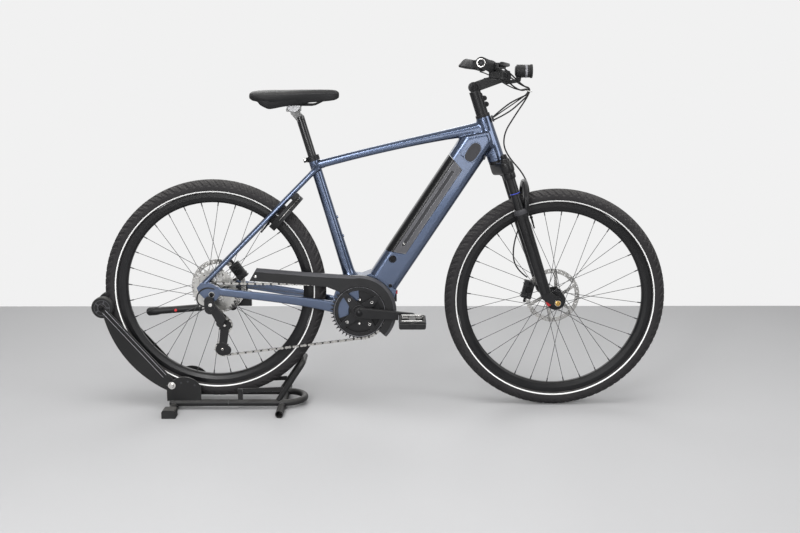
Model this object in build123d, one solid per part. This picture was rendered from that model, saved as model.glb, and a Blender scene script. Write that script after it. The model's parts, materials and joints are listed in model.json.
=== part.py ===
from build123d import *
import math
import os

# An electric trekking bicycle held by its rear wheel in a tubular floor stand.
# Millimetres. X forward, Y to the rider's left, Z up, floor at Z = 0.
# The origin is on the floor under the middle of the whole object.

# Wheels and the three axles that set out the bicycle
wheelbase = 1109.2
tyre_r = 361.0
tyre_section_r = 25.0
stand_lift = 30.5
front_x = 573.0
front_z = tyre_r
rear_x = front_x - wheelbase
rear_z = tyre_r + stand_lift
crank_x = -65.0
crank_z = 327.0

# Frame angles and lengths
seat_angle = 73.4
seat_tube_top = 826.0
seat_tube_foot = 436.0
post_r = 13.6
seat_bore_r = post_r + 0.05
steer_angle = 71.8
steer_x = 299.7
steer_z = 1042.5
head_top_s = 97.0
head_low_s = 240.0
head_bore_r = 19.0
steerer_r = 14.3
tilt_range = (-20, 40)

# Down tube: a box section, with the battery let into its upper side
down_x = 13.0
down_z = 423.6
down_angle = 56.53
down_depth = 100.0
down_width = 76.0
down_corner = 22.0
down_wall = 4.0
bay_floor = -9.5
bay_low = (88.0, 114.5)
bay_high = (456.5, 440.0)
bay_gap = 0.6
key_at = (78.7, 16.6)
key_r = 8.5

# Front fork
leg_y = 65.0
leg_forward = 20.0
stanchion_r = 15.0
leg_r = 19.5
leg_top_s = 415.0
crown_s = (246.0, 286.0)
drop_y = 50.0
front_axle_r = 7.5

# Rear end
rear_drop_y = 67.5
rear_axle_r = 6.0
stay_front_x = -150.0
hang = (rear_x - 3.8, rear_z - 31.5)
hang_bolt_r = 5.0

# Drive
pitch = 12.7
roller_r = 3.85
ring_teeth = 44
cog_teeth = (11, 13, 15, 17, 20, 23, 26, 30, 36)
cog_step = 4.35
cog_first_y = -59.0
cog_used = 2
pulley_teeth = 11
chain_y = cog_first_y + cog_step * cog_used
crank_len = 170.0
crank_droop = -4.0
guide_x = rear_x + 33.2
guide_z = rear_z - 108.5
cage_len = 80.0
spindle_r = 10.0
pedal_axle_r = 5.0
run_fit = 0.05

# Handlebar
bar_r = 11.1
bar_mid = (394.0, 0.0, 1076.0)
bar_knee = (350.0, -112.0, 1106.0)
bar_end = (296.0, -312.0, 1117.0)
grip_len = 130.0

# Wheel parts
spoke_count = 32
spoke_r = 0.9
rim_in_r = 287.0
rotor_r = 90.0
front_rotor_y = 39.5
rear_rotor_y = 52.0

# Stand
rail_y = 60.0
rail_z = 22.0
rail_r = 11.0
roller_big_r = 35.0
roller_x = rear_x - tyre_r - 1.8
roller_z = 340.0
arm_pivot = (rear_x - 143.5, 84.5)
foot_y = 150.0

fit_gap = 0.4
OUT = "parts"
os.makedirs(OUT, exist_ok=True)


def save(name, *shapes):
    solids = []
    for shape in shapes:
        solids += list(shape.solids())
    whole = solids[0] if len(solids) == 1 else Compound(children=solids)
    whole.label = name
    export_step(whole, f"{OUT}/{name}.step")


def from_rear(*steps):
    # places on the side view, given as steps from the rear axle
    return [(rear_x + x, rear_z + z) for x, z in steps]


def on_chain_line(share, up):
    # a place above the line from the cranks to the rear axle
    return crank_x + share * (rear_x - crank_x), crank_z + share * (rear_z - crank_z) + up


def side_plane(y):
    return Plane(origin=(0, y, 0), x_dir=(1, 0, 0), z_dir=(0, -1, 0))


def slab(points, y0, y1):
    return extrude(side_plane(y1) * make_face(Polyline(*points, close=True)), y1 - y0)


def slab_face(face, y0, y1):
    return extrude(side_plane(y1) * face, y1 - y0)


def disc(x, z, r, y0, y1):
    return extrude(side_plane(y1) * Pos(x, z) * Circle(r), y1 - y0)


def ring(x, z, r_out, r_in, y0, y1):
    face = Pos(x, z) * (Circle(r_out) - Circle(r_in))
    return extrude(side_plane(y1) * face, y1 - y0)


def rod(p, q, r):
    p, q = Vector(*p), Vector(*q)
    return extrude(Plane(origin=p, z_dir=q - p) * Circle(r), (q - p).length)


def turned(points, x, z):
    # points are (radius, y) round an axle across the bicycle
    face = make_face(Polyline(*points, close=True))
    return Pos(x, 0, z) * revolve(face, Axis.Y)


def link_face(a, ra, b, rb):
    # outline of two rounded ends and the straight web between them
    left = Pos(*a) * Circle(ra)
    right = Pos(*b) * Circle(rb)
    return make_hull(left.edges() + right.edges())


def polar(r, deg):
    return r * math.cos(math.radians(deg)), r * math.sin(math.radians(deg))


# Directions along the steering axis and square to it
steer_d = (math.cos(math.radians(steer_angle)), -math.sin(math.radians(steer_angle)))
steer_n = (-steer_d[1], steer_d[0])


def steer_at(s, n=0.0, y=0.0):
    # s runs down the steering axis from the stem pivot, n forward of it
    return (
        steer_x + s * steer_d[0] + n * steer_n[0],
        y,
        steer_z + s * steer_d[1] + n * steer_n[1],
    )


def steer_plane(s):
    return Plane(origin=steer_at(s), x_dir=(steer_n[0], 0, steer_n[1]), z_dir=(steer_d[0], 0, steer_d[1]))


# Directions along the down tube and square to it
down_e = (math.cos(math.radians(down_angle)), math.sin(math.radians(down_angle)))
down_n = (-down_e[1], down_e[0])


def down_at(s, n, y=0.0):
    return (down_x + s * down_e[0] + n * down_n[0], y, down_z + s * down_e[1] + n * down_n[1])


def down_plane(s):
    return Plane(origin=down_at(s, 0), x_dir=(0, -1, 0), z_dir=(down_e[0], 0, down_e[1]))


def down_xz(s, n):
    p = down_at(s, n)
    return p[0], p[2]


# Seat tube line from the crank axle
seat_d = (-math.cos(math.radians(seat_angle)), math.sin(math.radians(seat_angle)))


def seat_at(z, y=0.0):
    t = (z - crank_z) / seat_d[1]
    return (crank_x + t * seat_d[0], y, z)


# Frame: head tube
head_tube_core = loft([steer_plane(head_top_s) * Circle(23.0), steer_plane(head_low_s) * Circle(27.0)])
head_tube = head_tube_core - rod(steer_at(head_top_s - 2), steer_at(head_low_s + 2), head_bore_r)

# Frame: seat tube, wider at its foot
seat_low, seat_high = seat_at(seat_tube_foot), seat_at(seat_tube_top)
seat_dir = (seat_d[0], 0, seat_d[1])
seat_tube_core = loft([
    Plane(origin=seat_low, z_dir=seat_dir) * Circle(20.0),
    Plane(origin=seat_at(640), z_dir=seat_dir) * Circle(17.5),
    Plane(origin=seat_high, z_dir=seat_dir) * Circle(16.6),
], ruled=True)
seat_bore = rod(seat_at(seat_tube_foot - 20), seat_at(seat_tube_top + 20), seat_bore_r)
boss_z = (564.0, 625.3)
boss_tools = []
bosses = []
for z in boss_z:
    p = seat_at(z)
    out = (seat_d[1], 0, -seat_d[0])
    q = tuple(p[i] + 21.0 * out[i] for i in range(3))
    p = tuple(p[i] + 14.5 * out[i] for i in range(3))
    bosses.append(rod(p, q, 4.6))
    boss_tools.append(rod(p, tuple(q[i] + out[i] for i in range(3)), 2.5))
seat_tube = seat_tube_core
for b in bosses:
    seat_tube = seat_tube + b
seat_tube = seat_tube - seat_bore
for b in boss_tools:
    seat_tube = seat_tube - b

# Frame: top tube, a soft curve that deepens towards the head tube
top_stations = ((-205.0, 796.5, 30.0, 27.0), (-100.0, 824.0, 30.0, 26.0), (40.0, 857.5, 32.0, 26.5),
                (190.0, 889.5, 34.0, 31.0), (322.0, 915.0, 36.0, 42.0))


def top_section(x, z, w, h, slope):
    d = (math.cos(slope), 0, math.sin(slope))
    return Plane(origin=(x, 0, z), x_dir=(0, -1, 0), z_dir=d) * RectangleRounded(w, h, min(w, h) * 0.42)


top_slopes = (0.262, 0.248, 0.228, 0.205, 0.19)
top_outer = loft([top_section(*s, a) for s, a in zip(top_stations, top_slopes)])
top_inner = loft([top_section(x, z, w - 6, h - 6, a) for (x, z, w, h), a in zip(top_stations, top_slopes)])
top_tube = top_outer - top_inner - seat_tube_core - head_tube_core

# Frame: down tube shell with the battery bay
down_box = extrude(down_plane(0) * RectangleRounded(down_width, down_depth, down_corner), 620)
down_hollow = extrude(
    down_plane(-1) * RectangleRounded(down_width - 2 * down_wall, down_depth - 2 * down_wall,
                                      down_corner - down_wall), 471)
front_cut = slab([
    (steer_at(-100)[0], steer_at(-100)[2]), (steer_at(500)[0], steer_at(500)[2]),
    (900, steer_at(500)[2]), (900, 1300)], -90, 90)
under_top = slab([(100, 856), (249, 884), (372, 909), (372, 1200), (100, 1200)], -90, 90)
bay = [(bay_low[0] - 8, down_depth / 2 + 18), (bay_low[1], bay_floor), (bay_high[1], bay_floor),
       (bay_high[0] + 6.4, down_depth / 2 + 18)]
bay_tool = slab([down_xz(s, n) for s, n in bay], -60, 60)
key_p = down_at(*key_at)
down_tube = down_box - down_hollow - front_cut - under_top - bay_tool - head_tube_core
down_tube = down_tube - top_outer
down_tube = down_tube - disc(key_p[0], key_p[2], key_r + fit_gap, -60, 0)
down_tube = max(down_tube.solids(), key=lambda s: s.volume)

# Battery: a cover flush with the tube sides on a body that fills the trough
cover = [(bay_low[0] + 1.0, down_depth / 2 + 1), (bay_low[1] + 1.0, bay_floor + bay_gap),
         (bay_high[1] - 1.0, bay_floor + bay_gap), (bay_high[0] - 1.0, down_depth / 2 + 1)]
battery_top = slab([down_xz(s, n) for s, n in cover], -60, 60)
tube_outside = RectangleRounded(down_width, down_depth, down_corner)
battery_top = battery_top & extrude(down_plane(0) * tube_outside, 600)
groove = slab_face(
    Pos(*down_xz(277, 13)) * Rot(0, 0, down_angle) * SlotOverall(292, 11), -60, -down_width / 2 + 1.6)
groove_left = mirror(groove, about=Plane.XZ)
battery_top = battery_top - groove - groove_left
body = [(128, bay_floor + 1), (128, -42), (430, -42), (430, bay_floor + 1)]
battery_body = slab([down_xz(s, n) for s, n in body], -31, 31)
battery_body = battery_body & extrude(
    down_plane(60) * RectangleRounded(down_width - 2 * down_wall - 1.6, down_depth - 2 * down_wall - 1.6,
                                      down_corner - down_wall), 440)
battery = battery_top + battery_body
key_barrel = disc(key_p[0], key_p[2], key_r, -down_width / 2 - 1.2, -18)
slot_cut = Pos(key_p[0], -down_width / 2 - 1.2, key_p[2]) * Rot(0, 30, 0) * Box(1.6, 5, 9)
key_barrel = key_barrel - slot_cut

# Frame: cradle that carries the motor between down tube, seat tube and chain stays
motor_c = (-58.0, 322.0)
motor_r = 84.0
cradle_w = 38.0
p0 = down_xz(0, -down_depth / 2)
p1 = down_xz(0, down_depth / 2)
cradle_face = make_face(Polyline(
    p0, p1, (-58, 440), (seat_low[0] + 19.2, seat_low[2] + 5.7), (seat_low[0] - 19.2, seat_low[2] - 5.7),
    (-138, 404), (stay_front_x, 372), (stay_front_x, 312), (-128, 306), (-100, 322), (0, 322), (44, 352),
    close=True))
cradle = slab_face(cradle_face, -cradle_w, cradle_w)
yoke = slab([(stay_front_x, 366), (-128, 372), (-128, 312), (stay_front_x, 316)], -46, 46)
motor_pocket = disc(motor_c[0], motor_c[1], motor_r + 0.5, -80, 80)
cradle = cradle + yoke - motor_pocket
cradle = cradle - down_box - seat_tube_core
seat_mouth = rod(seat_at(seat_tube_foot - 60), seat_at(seat_tube_foot + 5), seat_bore_r)
cradle = cradle - seat_mouth
cradle = max(cradle.solids(), key=lambda s: s.volume)

# Motor: housing, side covers and the gear-side bearing seat
motor = disc(motor_c[0], motor_c[1], motor_r, -40, 44)
motor_left = disc(motor_c[0] + 4, motor_c[1], motor_r - 12, 44, 56)
motor_right = disc(crank_x, crank_z, 27, -44, -40)
motor = motor + motor_left + motor_right + disc(crank_x, crank_z, 24, 56, 62)
motor = motor - disc(crank_x, crank_z, spindle_r + run_fit, -70, 80)

# Frame: chain stays with dropouts
stay_front_z = crank_z + 14.0
stay_back_x = rear_x + 24.2
stay_back_z = rear_z + 8.5
stay_shape = ((0.0, 0.0, 39.0, 13, 38), (0.2762, 0.356, 52.0, 13, 31), (0.7459, 0.78, 69.0, 12, 26),
              (1.0, 1.0, 74.0, 11, 26))
hanger_pts = from_rear((-19.8, -17.5), (6.2, -19.5), (7.2, -39.5), (-11.8, -41.5))
drop_top = from_rear((24.2, 21.5), (-8.8, 38.5), (-35.8, 36.5), (-47.8, 20.5), (-41.8, 4.5))
drop_pts = from_rear((24.2, -4.5)) + drop_top + from_rear((-19.8, -19.5), (12.2, -21.5))


def stay_section(x, y, z, w, h):
    return Plane(origin=(x, y, z), x_dir=(0, 1, 0), z_dir=(1, 0, 0)) * RectangleRounded(w, h, w * 0.4)


def chain_stay(side):
    bar = loft([
        stay_section(stay_front_x + back * (stay_back_x - stay_front_x), side * y,
                     stay_front_z + up * (stay_back_z - stay_front_z), w, h)
        for back, up, y, w, h in stay_shape])
    y0, y1 = sorted((side * (rear_drop_y + 0.5), side * (rear_drop_y + 11.5)))
    drop = slab(drop_pts, y0, y1)
    if side < 0:
        drop = drop + slab(hanger_pts, y0, y0 + 7)
    bar = bar + drop - disc(rear_x, rear_z, rear_axle_r + 0.1, -100, 100)
    return bar - disc(hang[0], hang[1], hang_bolt_r, -100, 0) if side < 0 else bar


chain_stays = [chain_stay(-1), chain_stay(1)]

# Frame: seat stays and their bridge
stay_top = (seat_at(783.0)[0] - 3.8, 20.0, 783.0)
stay_low = (rear_x - 29.8, 74.0, rear_z + 28.5)


def stay_point(t, side):
    return tuple(
        (stay_top[i] + t * (stay_low[i] - stay_top[i])) * (side if i == 1 else 1) for i in range(3))


seat_stays = []
for side in (-1, 1):
    stay = rod(stay_point(0.0, side), stay_point(1.0, side), 8.5) + Pos(*stay_point(0.0, side)) * Sphere(8.5)
    drop_tool = slab(from_rear((24.2, -11.5)) + drop_top, -100, 100)
    stay = stay - seat_tube_core - drop_tool
    seat_stays.append(max(stay.solids(), key=lambda s: s.volume))
bridge = rod(stay_point(0.15, -1), stay_point(0.15, 1), 6.0)
for side in (-1, 1):
    bridge = bridge - rod(stay_point(0.0, side), stay_point(1.0, side), 8.5)
seat_stays.append(max(bridge.solids(), key=lambda s: s.volume))

# Seat collar with its pinch bolt
collar_a, collar_b = seat_at(seat_tube_top - 14), seat_at(seat_tube_top + 1)
collar = rod(collar_a, collar_b, 21.0) - seat_tube_core
collar = collar - rod(collar_a, seat_at(seat_tube_top + 3), seat_bore_r + 0.4)
ear_place = Pos(*seat_at(seat_tube_top - 6)) * Rot(0, -(90 - seat_angle), 0) * Pos(-24, 0, 0)
ear = ear_place * Box(12, 20, 13)
collar = collar + ear - rod(collar_a, collar_b, 16.7)
collar_slot = ear_place * Box(22, 2, 20)
collar = collar - collar_slot
bolt_mid = Vector(*seat_at(seat_tube_top - 6)) + Vector(-25 * math.sin(math.radians(seat_angle)), 0,
                                                        -25 * math.cos(math.radians(seat_angle)))
collar_bolt = rod((bolt_mid.X, -14, bolt_mid.Z), (bolt_mid.X, 12, bolt_mid.Z), 2.5)
collar_bolt = collar_bolt + rod((bolt_mid.X, -15, bolt_mid.Z), (bolt_mid.X, -10.2, bolt_mid.Z), 4.6)
collar = collar - rod((bolt_mid.X, -12, bolt_mid.Z), (bolt_mid.X, 14, bolt_mid.Z), 2.6)

# Ring lock round the rear tyre, hung on the seat stays where they pass over the tread
lock_over = tyre_r + 39.8
stay_run = (stay_low[0] - stay_top[0], stay_low[2] - stay_top[2])
stay_from = (stay_top[0] - rear_x, stay_top[2] - rear_z)
run_sq = stay_run[0] ** 2 + stay_run[1] ** 2
run_dot = stay_run[0] * stay_from[0] + stay_run[1] * stay_from[1]
over_sq = stay_from[0] ** 2 + stay_from[1] ** 2 - lock_over ** 2
lock_share = (-run_dot - math.sqrt(run_dot ** 2 - run_sq * over_sq)) / run_sq
lock_seat = stay_point(lock_share, 1)
lock_angle = math.degrees(math.atan2(lock_seat[2] - rear_z, lock_seat[0] - rear_x)) - 3.84
lock_r = tyre_r - 19.0
print("ring lock angle", round(lock_angle, 3), "stay share", round(lock_share, 4))
lock_c = (rear_x + polar(lock_r, lock_angle)[0], rear_z + polar(lock_r, lock_angle)[1])
lock_mid = 64.0
lock_plane = Plane(
    origin=(lock_c[0], 0, lock_c[1]),
    x_dir=(math.cos(math.radians(lock_angle)), 0, math.sin(math.radians(lock_angle))),
    z_dir=(-math.sin(math.radians(lock_angle)), 0, math.cos(math.radians(lock_angle))))
lock_body = extrude(lock_plane * (Circle(lock_mid + 10) - Circle(lock_mid - 9)), 11, both=True)
gap_half = 36.0
gap_pts = [(0, 0)] + [(-120 * math.cos(math.radians(a)), 120 * math.sin(math.radians(a)))
                      for a in (gap_half, 12, -12, -gap_half)]
lock_body = lock_body - extrude(lock_plane * make_face(Polyline(*gap_pts, close=True)), 20, both=True)
bolt_r = 4.5
bolt_ring = lock_plane * Torus(lock_mid, bolt_r)
bolt_room = lock_plane * Torus(lock_mid, bolt_r + fit_gap)
lock_body = lock_body - bolt_room


def lock_wedge(a0, a1, depth, r0=20.0, r1=120.0):
    # angles are counted from the side away from the axle, right hand side negative
    n = 8
    angles = [a0 + (a1 - a0) * i / n for i in range(n + 1)]
    pts = [polar(r1, a) for a in angles] + [polar(r0, a) for a in reversed(angles)]
    return extrude(lock_plane * make_face(Polyline(*pts, close=True)), depth, both=True)


lever_slot = lock_wedge(-108, -24, 2.4, lock_mid, 90)
lock_body = lock_body - lever_slot
bolt = bolt_ring & lock_wedge(-143.0, -26.0, 12)
lock_bolt = bolt + (lock_wedge(-30.5, -26.2, 2.0, lock_mid - 2, lock_mid + 20))
for side in (-1, 1):
    seat_on = stay_point(lock_share, side)
    foot_on = tuple(seat_on[i] - 16.0 * tuple(lock_plane.z_dir)[i] for i in range(3))
    mount = rod(seat_on, foot_on, 6.0) - rod(stay_point(0.0, side), stay_point(1.0, side), 8.5)
    lock_body = lock_body + max(mount.solids(), key=lambda s: s.bounding_box().min.X * -1)
lock_body = max(lock_body.solids(), key=lambda s: s.volume)

# Chain guard: outer face with a lip over the chain
guard_in, guard_out = 94.5, 120.0
guard_back = [on_chain_line(0.7491, 55.7), on_chain_line(0.7003, 98.8), on_chain_line(0.3332, 107.5)]


def round_crank(r, *angles):
    return [(crank_x + polar(r, a)[0], crank_z + polar(r, a)[1]) for a in range(*angles)]


guard_pts = guard_back + round_crank(guard_out, 96, -48, -6) + round_crank(guard_in, -42, 120, 6)
guard_pts += [on_chain_line(0.2228, 85.6)]
guard_face = slab(guard_pts, -60.5, -58.5)
lip_outer = guard_back + round_crank(guard_out, 96, -48, -6)
lip_inner = round_crank(guard_out - 2, -42, 97, 6)
lip_inner += [on_chain_line(0.3332, 105.1), on_chain_line(0.6973, 96.4), on_chain_line(0.744, 56.0)]
guard_lip = slab(lip_outer + lip_inner, -59.5, -42)
chain_guard = guard_face + guard_lip

# Drive: chain path round chainring, cog and the two pulleys
def pitch_radius(teeth):
    return pitch / (2 * math.sin(math.pi / teeth))


def tangent(ca, ra, sa, cb, rb, sb):
    # straight run from one wheel to the next; s is +1 where the chain turns anticlockwise
    dx, dz = cb[0] - ca[0], cb[1] - ca[1]
    k = sb * rb - sa * ra
    length = math.sqrt(dx * dx + dz * dz - k * k)
    a = math.atan2(dz, dx) - math.atan2(k, length)
    n = (-math.sin(a), math.cos(a))
    pa = (ca[0] - sa * ra * n[0], ca[1] - sa * ra * n[1])
    pb = (cb[0] - sb * rb * n[0], cb[1] - sb * rb * n[1])
    return pa, pb, a, length


def chain_runs(cage_angle):
    tension = (guide_x + polar(cage_len, cage_angle)[0], guide_z + polar(cage_len, cage_angle)[1])
    wheels = [((crank_x, crank_z), ring_teeth, 1), ((rear_x, rear_z), cog_teeth[cog_used], 1),
              ((guide_x, guide_z), pulley_teeth, -1), (tension, pulley_teeth, 1)]
    runs = []
    for i in range(4):
        (ca, na, sa), (cb, nb, sb) = wheels[i], wheels[(i + 1) % 4]
        runs.append(tangent(ca, pitch_radius(na), sa, cb, pitch_radius(nb), sb))
    steps = []
    for i in range(4):
        c, n, s = wheels[(i + 1) % 4]
        turn = (runs[(i + 1) % 4][2] - runs[i][2]) * s
        steps.append((turn % (2 * math.pi)) * n / (2 * math.pi))
    total = sum(r[3] / pitch for r in runs) + sum(steps)
    return wheels, runs, steps, total


def solve_cage():
    whole = 2 * round(chain_runs(-98.0)[3] / 2)
    lo, hi = -125.0, -70.0
    rising = chain_runs(hi)[3] > chain_runs(lo)[3]
    for _ in range(60):
        mid = (lo + hi) / 2
        if (chain_runs(mid)[3] < whole) == rising:
            lo = mid
        else:
            hi = mid
    return (lo + hi) / 2, whole


cage_angle, chain_links = solve_cage()
wheels, runs, arc_steps, _ = chain_runs(cage_angle)
tension_x, tension_z = wheels[3][0]


def chain_points():
    # pin centres one pitch apart, counted from the start of the upper run
    points = []
    marks = [None, None, None, None]
    for k in range(chain_links):
        left = float(k)
        for i in range(4):
            pa, pb, a, length = runs[i]
            if left < length / pitch:
                points.append((pa[0] + left * pitch * math.cos(a), pa[1] + left * pitch * math.sin(a)))
                break
            left -= length / pitch
            c, n, s = wheels[(i + 1) % 4]
            if left < arc_steps[i]:
                base = math.atan2(pb[1] - c[1], pb[0] - c[0])
                t = base + s * left * 2 * math.pi / n
                r = pitch_radius(n)
                points.append((c[0] + r * math.cos(t), c[1] + r * math.sin(t)))
                if marks[i] is None:
                    marks[i] = math.degrees(t)
                break
            left -= arc_steps[i]
    return points, marks


pins, phase = chain_points()
print("chain links", chain_links, "cage angle", round(cage_angle, 2), "pins", len(pins))


def sprocket_face(teeth, start_deg):
    # valleys sit on the pin centres, so the first valley is at start_deg
    r = pitch_radius(teeth)
    root = roller_r + 0.25
    step = 360.0 / teeth
    pts = []
    for i in range(teeth):
        a = start_deg + i * step
        cx, cy = polar(r, a)
        for b in (62, 31, 0, -31, -62):
            dx, dy = polar(root, a + 180 + b)
            pts.append((cx + dx, cy + dy))
        tip = r + 2.6
        for f in (0.42, 0.58):
            pts.append(polar(tip, a + step * f))
    return make_face(Polyline(*pts, close=True))


# Chain: outer links carry the pins, inner links the rollers
plate_face = SlotCenterToCenter(pitch, 7.6)
outer_link = slab_face(plate_face, 2.25, 3.0) + slab_face(plate_face, -3.0, -2.25)
for x in (-pitch / 2, pitch / 2):
    outer_link = outer_link + disc(x, 0, 1.75, -3.0, 3.0)
inner_link = slab_face(plate_face, 1.25, 2.1) + slab_face(plate_face, -2.1, -1.25)
for x in (-pitch / 2, pitch / 2):
    inner_link = inner_link + disc(x, 0, roller_r - 0.1, -1.3, 1.3)
for x in (-pitch / 2, pitch / 2):
    inner_link = inner_link - disc(x, 0, 1.9, -4, 4)
chain = []
for i in range(chain_links):
    a, b = pins[i], pins[(i + 1) % chain_links]
    at = Location(((a[0] + b[0]) / 2, chain_y, (a[1] + b[1]) / 2),
                  (0, -math.degrees(math.atan2(b[1] - a[1], b[0] - a[0])), 0))
    chain.append((outer_link if i % 2 else inner_link).moved(at))

# Chainring and spider
ring_face = sprocket_face(ring_teeth, phase[3]) - Circle(70)
chainring = slab_face(Pos(crank_x, crank_z) * ring_face, chain_y - 1.0, chain_y + 1.0)
spider_y = (chain_y - 5.5, chain_y - 1.0)
spider_hub = disc(crank_x, crank_z, 22, spider_y[0] - 3, spider_y[1] + 1.5)
for k in range(4):
    end = polar(52.0 + 22.0, 39 + 90 * k)
    arm_face = link_face((crank_x, crank_z), 20, (crank_x + end[0], crank_z + end[1]), 8)
    spider_hub = spider_hub + slab_face(arm_face, spider_y[0] + 1.0, spider_y[1])
chainring = chainring + spider_hub - disc(crank_x, crank_z, spindle_r, -80, -20)

# Cranks with spindle and pedal axles, one moving unit


def crank_end(turn):
    p = polar(crank_len, crank_droop + turn)
    return crank_x + p[0], crank_z + p[1]


cranks = disc(crank_x, crank_z, spindle_r, -73, 78)
for turn, y0, y1, side in ((0, -75.0, -61.0, -1), (180, 64.0, 78.0, 1)):
    end = crank_end(turn)
    arm = slab_face(link_face((crank_x, crank_z), 18.5, end, 12.5), y0, y1)
    ya, yb = sorted((side * 70.0, side * 186.0))
    cranks = cranks + arm + disc(end[0], end[1], pedal_axle_r, ya, yb)
    y2, y3 = sorted((side * 78.0, side * 84.0))
    cranks = cranks + disc(end[0], end[1], 8.0, y2, y3)


def pedal(turn, side):
    x, z = crank_end(turn)
    y0, y1 = sorted((side * 92.0, side * 190.0))
    barrel = disc(x, z, 11.0, y0, y1)
    frame_out = slab_face(Pos(x, z) * RectangleRounded(84, 24, 6), y0 + 2, y1 - 2)
    window = Pos(x, (y0 + y1) / 2, z) * (Pos(-22, 0, 0) * Box(24, 74, 40) + Pos(22, 0, 0) * Box(24, 74, 40))
    body = frame_out - window + barrel
    for tx in (-36, 36):
        for k in range(5):
            ty = (y0 + y1) / 2 - 34 + 17 * k
            body = body + Pos(x + tx, ty, z) * Cylinder(2.2, 28)
    ya, yb = sorted((side * 80.0, side * 187.0))
    bore = disc(x, z, pedal_axle_r + run_fit, ya, yb)
    return body - bore


# Cassette: nine cogs on a common core
cassette = disc(rear_x, rear_z, 17.5, cog_first_y - 2.5, cog_first_y + 8 * cog_step + 0.8)
for i, n in enumerate(cog_teeth):
    y = cog_first_y + cog_step * i
    start = phase[0] if i == cog_used else 0.0
    face = sprocket_face(n, start)
    if n > 20:
        for k in range(6):
            mid = polar((pitch_radius(n) - 7 + 18) / 2, 60 * k + 8 * i)
            face = face - Pos(*mid) * Rot(0, 0, 60 * k + 8 * i) * SlotOverall(
                pitch_radius(n) - 7 - 18 - 6, 9)
    cassette = cassette + slab_face(Pos(rear_x, rear_z) * face, y - 0.8, y + 0.8)
cassette = cassette - disc(rear_x, rear_z, 14.0, -80, 0)

# Derailleur: knuckle on the hanger, parallelogram links, cage and two pulleys
p_pivot = (guide_x - 9.0, guide_z + 14.0)
link_a = (rear_x + 3.2, rear_z - 46.5)
link_b = (p_pivot[0] - 3.0, p_pivot[1] + 16.0)
hang_y0, hang_y1 = -(rear_drop_y + 26.0), -(rear_drop_y + 12.0)
knuckle = disc(hang[0], hang[1], 11.5, hang_y0, hang_y1)
knuckle = knuckle + slab_face(link_face(hang, 11, link_a, 8), hang_y0, hang_y1)
link_u = ((link_b[0] - link_a[0]), (link_b[1] - link_a[1]))
link_len = math.hypot(*link_u)
link_u = (link_u[0] / link_len, link_u[1] / link_len)
link_n = (-link_u[1], link_u[0])
link_y = -82.0


def pivot_pin(c, y, r, h0, h1):
    return rod((c[0] + h0 * link_n[0], y, c[1] + h0 * link_n[1]),
               (c[0] + h1 * link_n[0], y, c[1] + h1 * link_n[1]), r)


def link_plate(y, half):
    # a bar from one pivot to the other, round at both ends about the pivot axes
    plane = Plane(origin=(link_a[0], y, link_a[1]), x_dir=(link_u[0], 0, link_u[1]),
                  z_dir=(link_n[0], 0, link_n[1]))
    face = Pos(link_len / 2, 0) * SlotCenterToCenter(link_len, 9.0)
    return extrude(plane * face, half, both=True)


derailleur_link = link_plate(link_y, 7.0)
for c in (link_a, link_b):
    derailleur_link = derailleur_link - pivot_pin(c, link_y, 2.5 + run_fit, -20, 20)
clear_a = pivot_pin(link_a, link_y, 4.5 + fit_gap, -7.0 - fit_gap, 7.0 + fit_gap)
knuckle = knuckle + pivot_pin(link_a, link_y, 6.5, -13, 13)
knuckle = knuckle - slab(hanger_pts, -(rear_drop_y + 11.5), -(rear_drop_y + 4.5))
knuckle = knuckle + disc(hang[0], hang[1], hang_bolt_r, hang_y1, -(rear_drop_y + 5))
knuckle = knuckle - clear_a - extrude(
    Plane(origin=(link_a[0], link_y, link_a[1]), x_dir=(link_u[0], 0, link_u[1]),
          z_dir=(link_n[0], 0, link_n[1])) * (Pos(30, 0) * Rectangle(60, 40)), 7.0 + fit_gap, both=True)
knuckle = knuckle + pivot_pin(link_a, link_y, 2.5, -13, 13)
derailleur_knuckle = knuckle

cage_face = link_face((guide_x, guide_z), 13, (tension_x, tension_z), 12)
cage_outer = slab_face(cage_face, chain_y - 6.6, chain_y - 4.6)
cage_inner = slab_face(cage_face, chain_y + 4.6, chain_y + 6.4)
p_knuckle = disc(p_pivot[0], p_pivot[1], 12.5, -88.0, chain_y - 6.6)
p_knuckle = p_knuckle + slab_face(link_face(p_pivot, 12, link_b, 8), -88.0, -74.0)
p_knuckle = p_knuckle + pivot_pin(link_b, link_y, 6.5, -13, 13)
p_cut = pivot_pin(link_b, link_y, 4.5 + fit_gap, -7.0 - fit_gap, 7.0 + fit_gap) + extrude(
    Plane(origin=(link_b[0], link_y, link_b[1]), x_dir=(link_u[0], 0, link_u[1]),
          z_dir=(link_n[0], 0, link_n[1])) * (Pos(-30, 0) * Rectangle(60, 40)), 7.0 + fit_gap, both=True)
p_knuckle = p_knuckle - p_cut + pivot_pin(link_b, link_y, 2.5, -13, 13)
cage = p_knuckle + cage_outer + cage_inner
cage = cage + slab_face(link_face((guide_x, guide_z), 13, p_pivot, 12.5), chain_y - 6.6, chain_y - 4.6)
for c in ((guide_x, guide_z), (tension_x, tension_z)):
    cage = cage + disc(c[0], c[1], 3.0, chain_y - 6.6, chain_y + 6.4)


def pulley(c, start):
    face = sprocket_face(pulley_teeth, start)
    for k in range(5):
        face = face - Pos(*polar(12.0, 72 * k)) * Circle(3.0)
    wheel = slab_face(Pos(*c) * face, chain_y - 1.0, chain_y + 1.0)
    wheel = wheel + disc(c[0], c[1], 8, chain_y - 3, chain_y + 3)
    return wheel - disc(c[0], c[1], 3.0 + run_fit, chain_y - 10, chain_y + 10)


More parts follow.
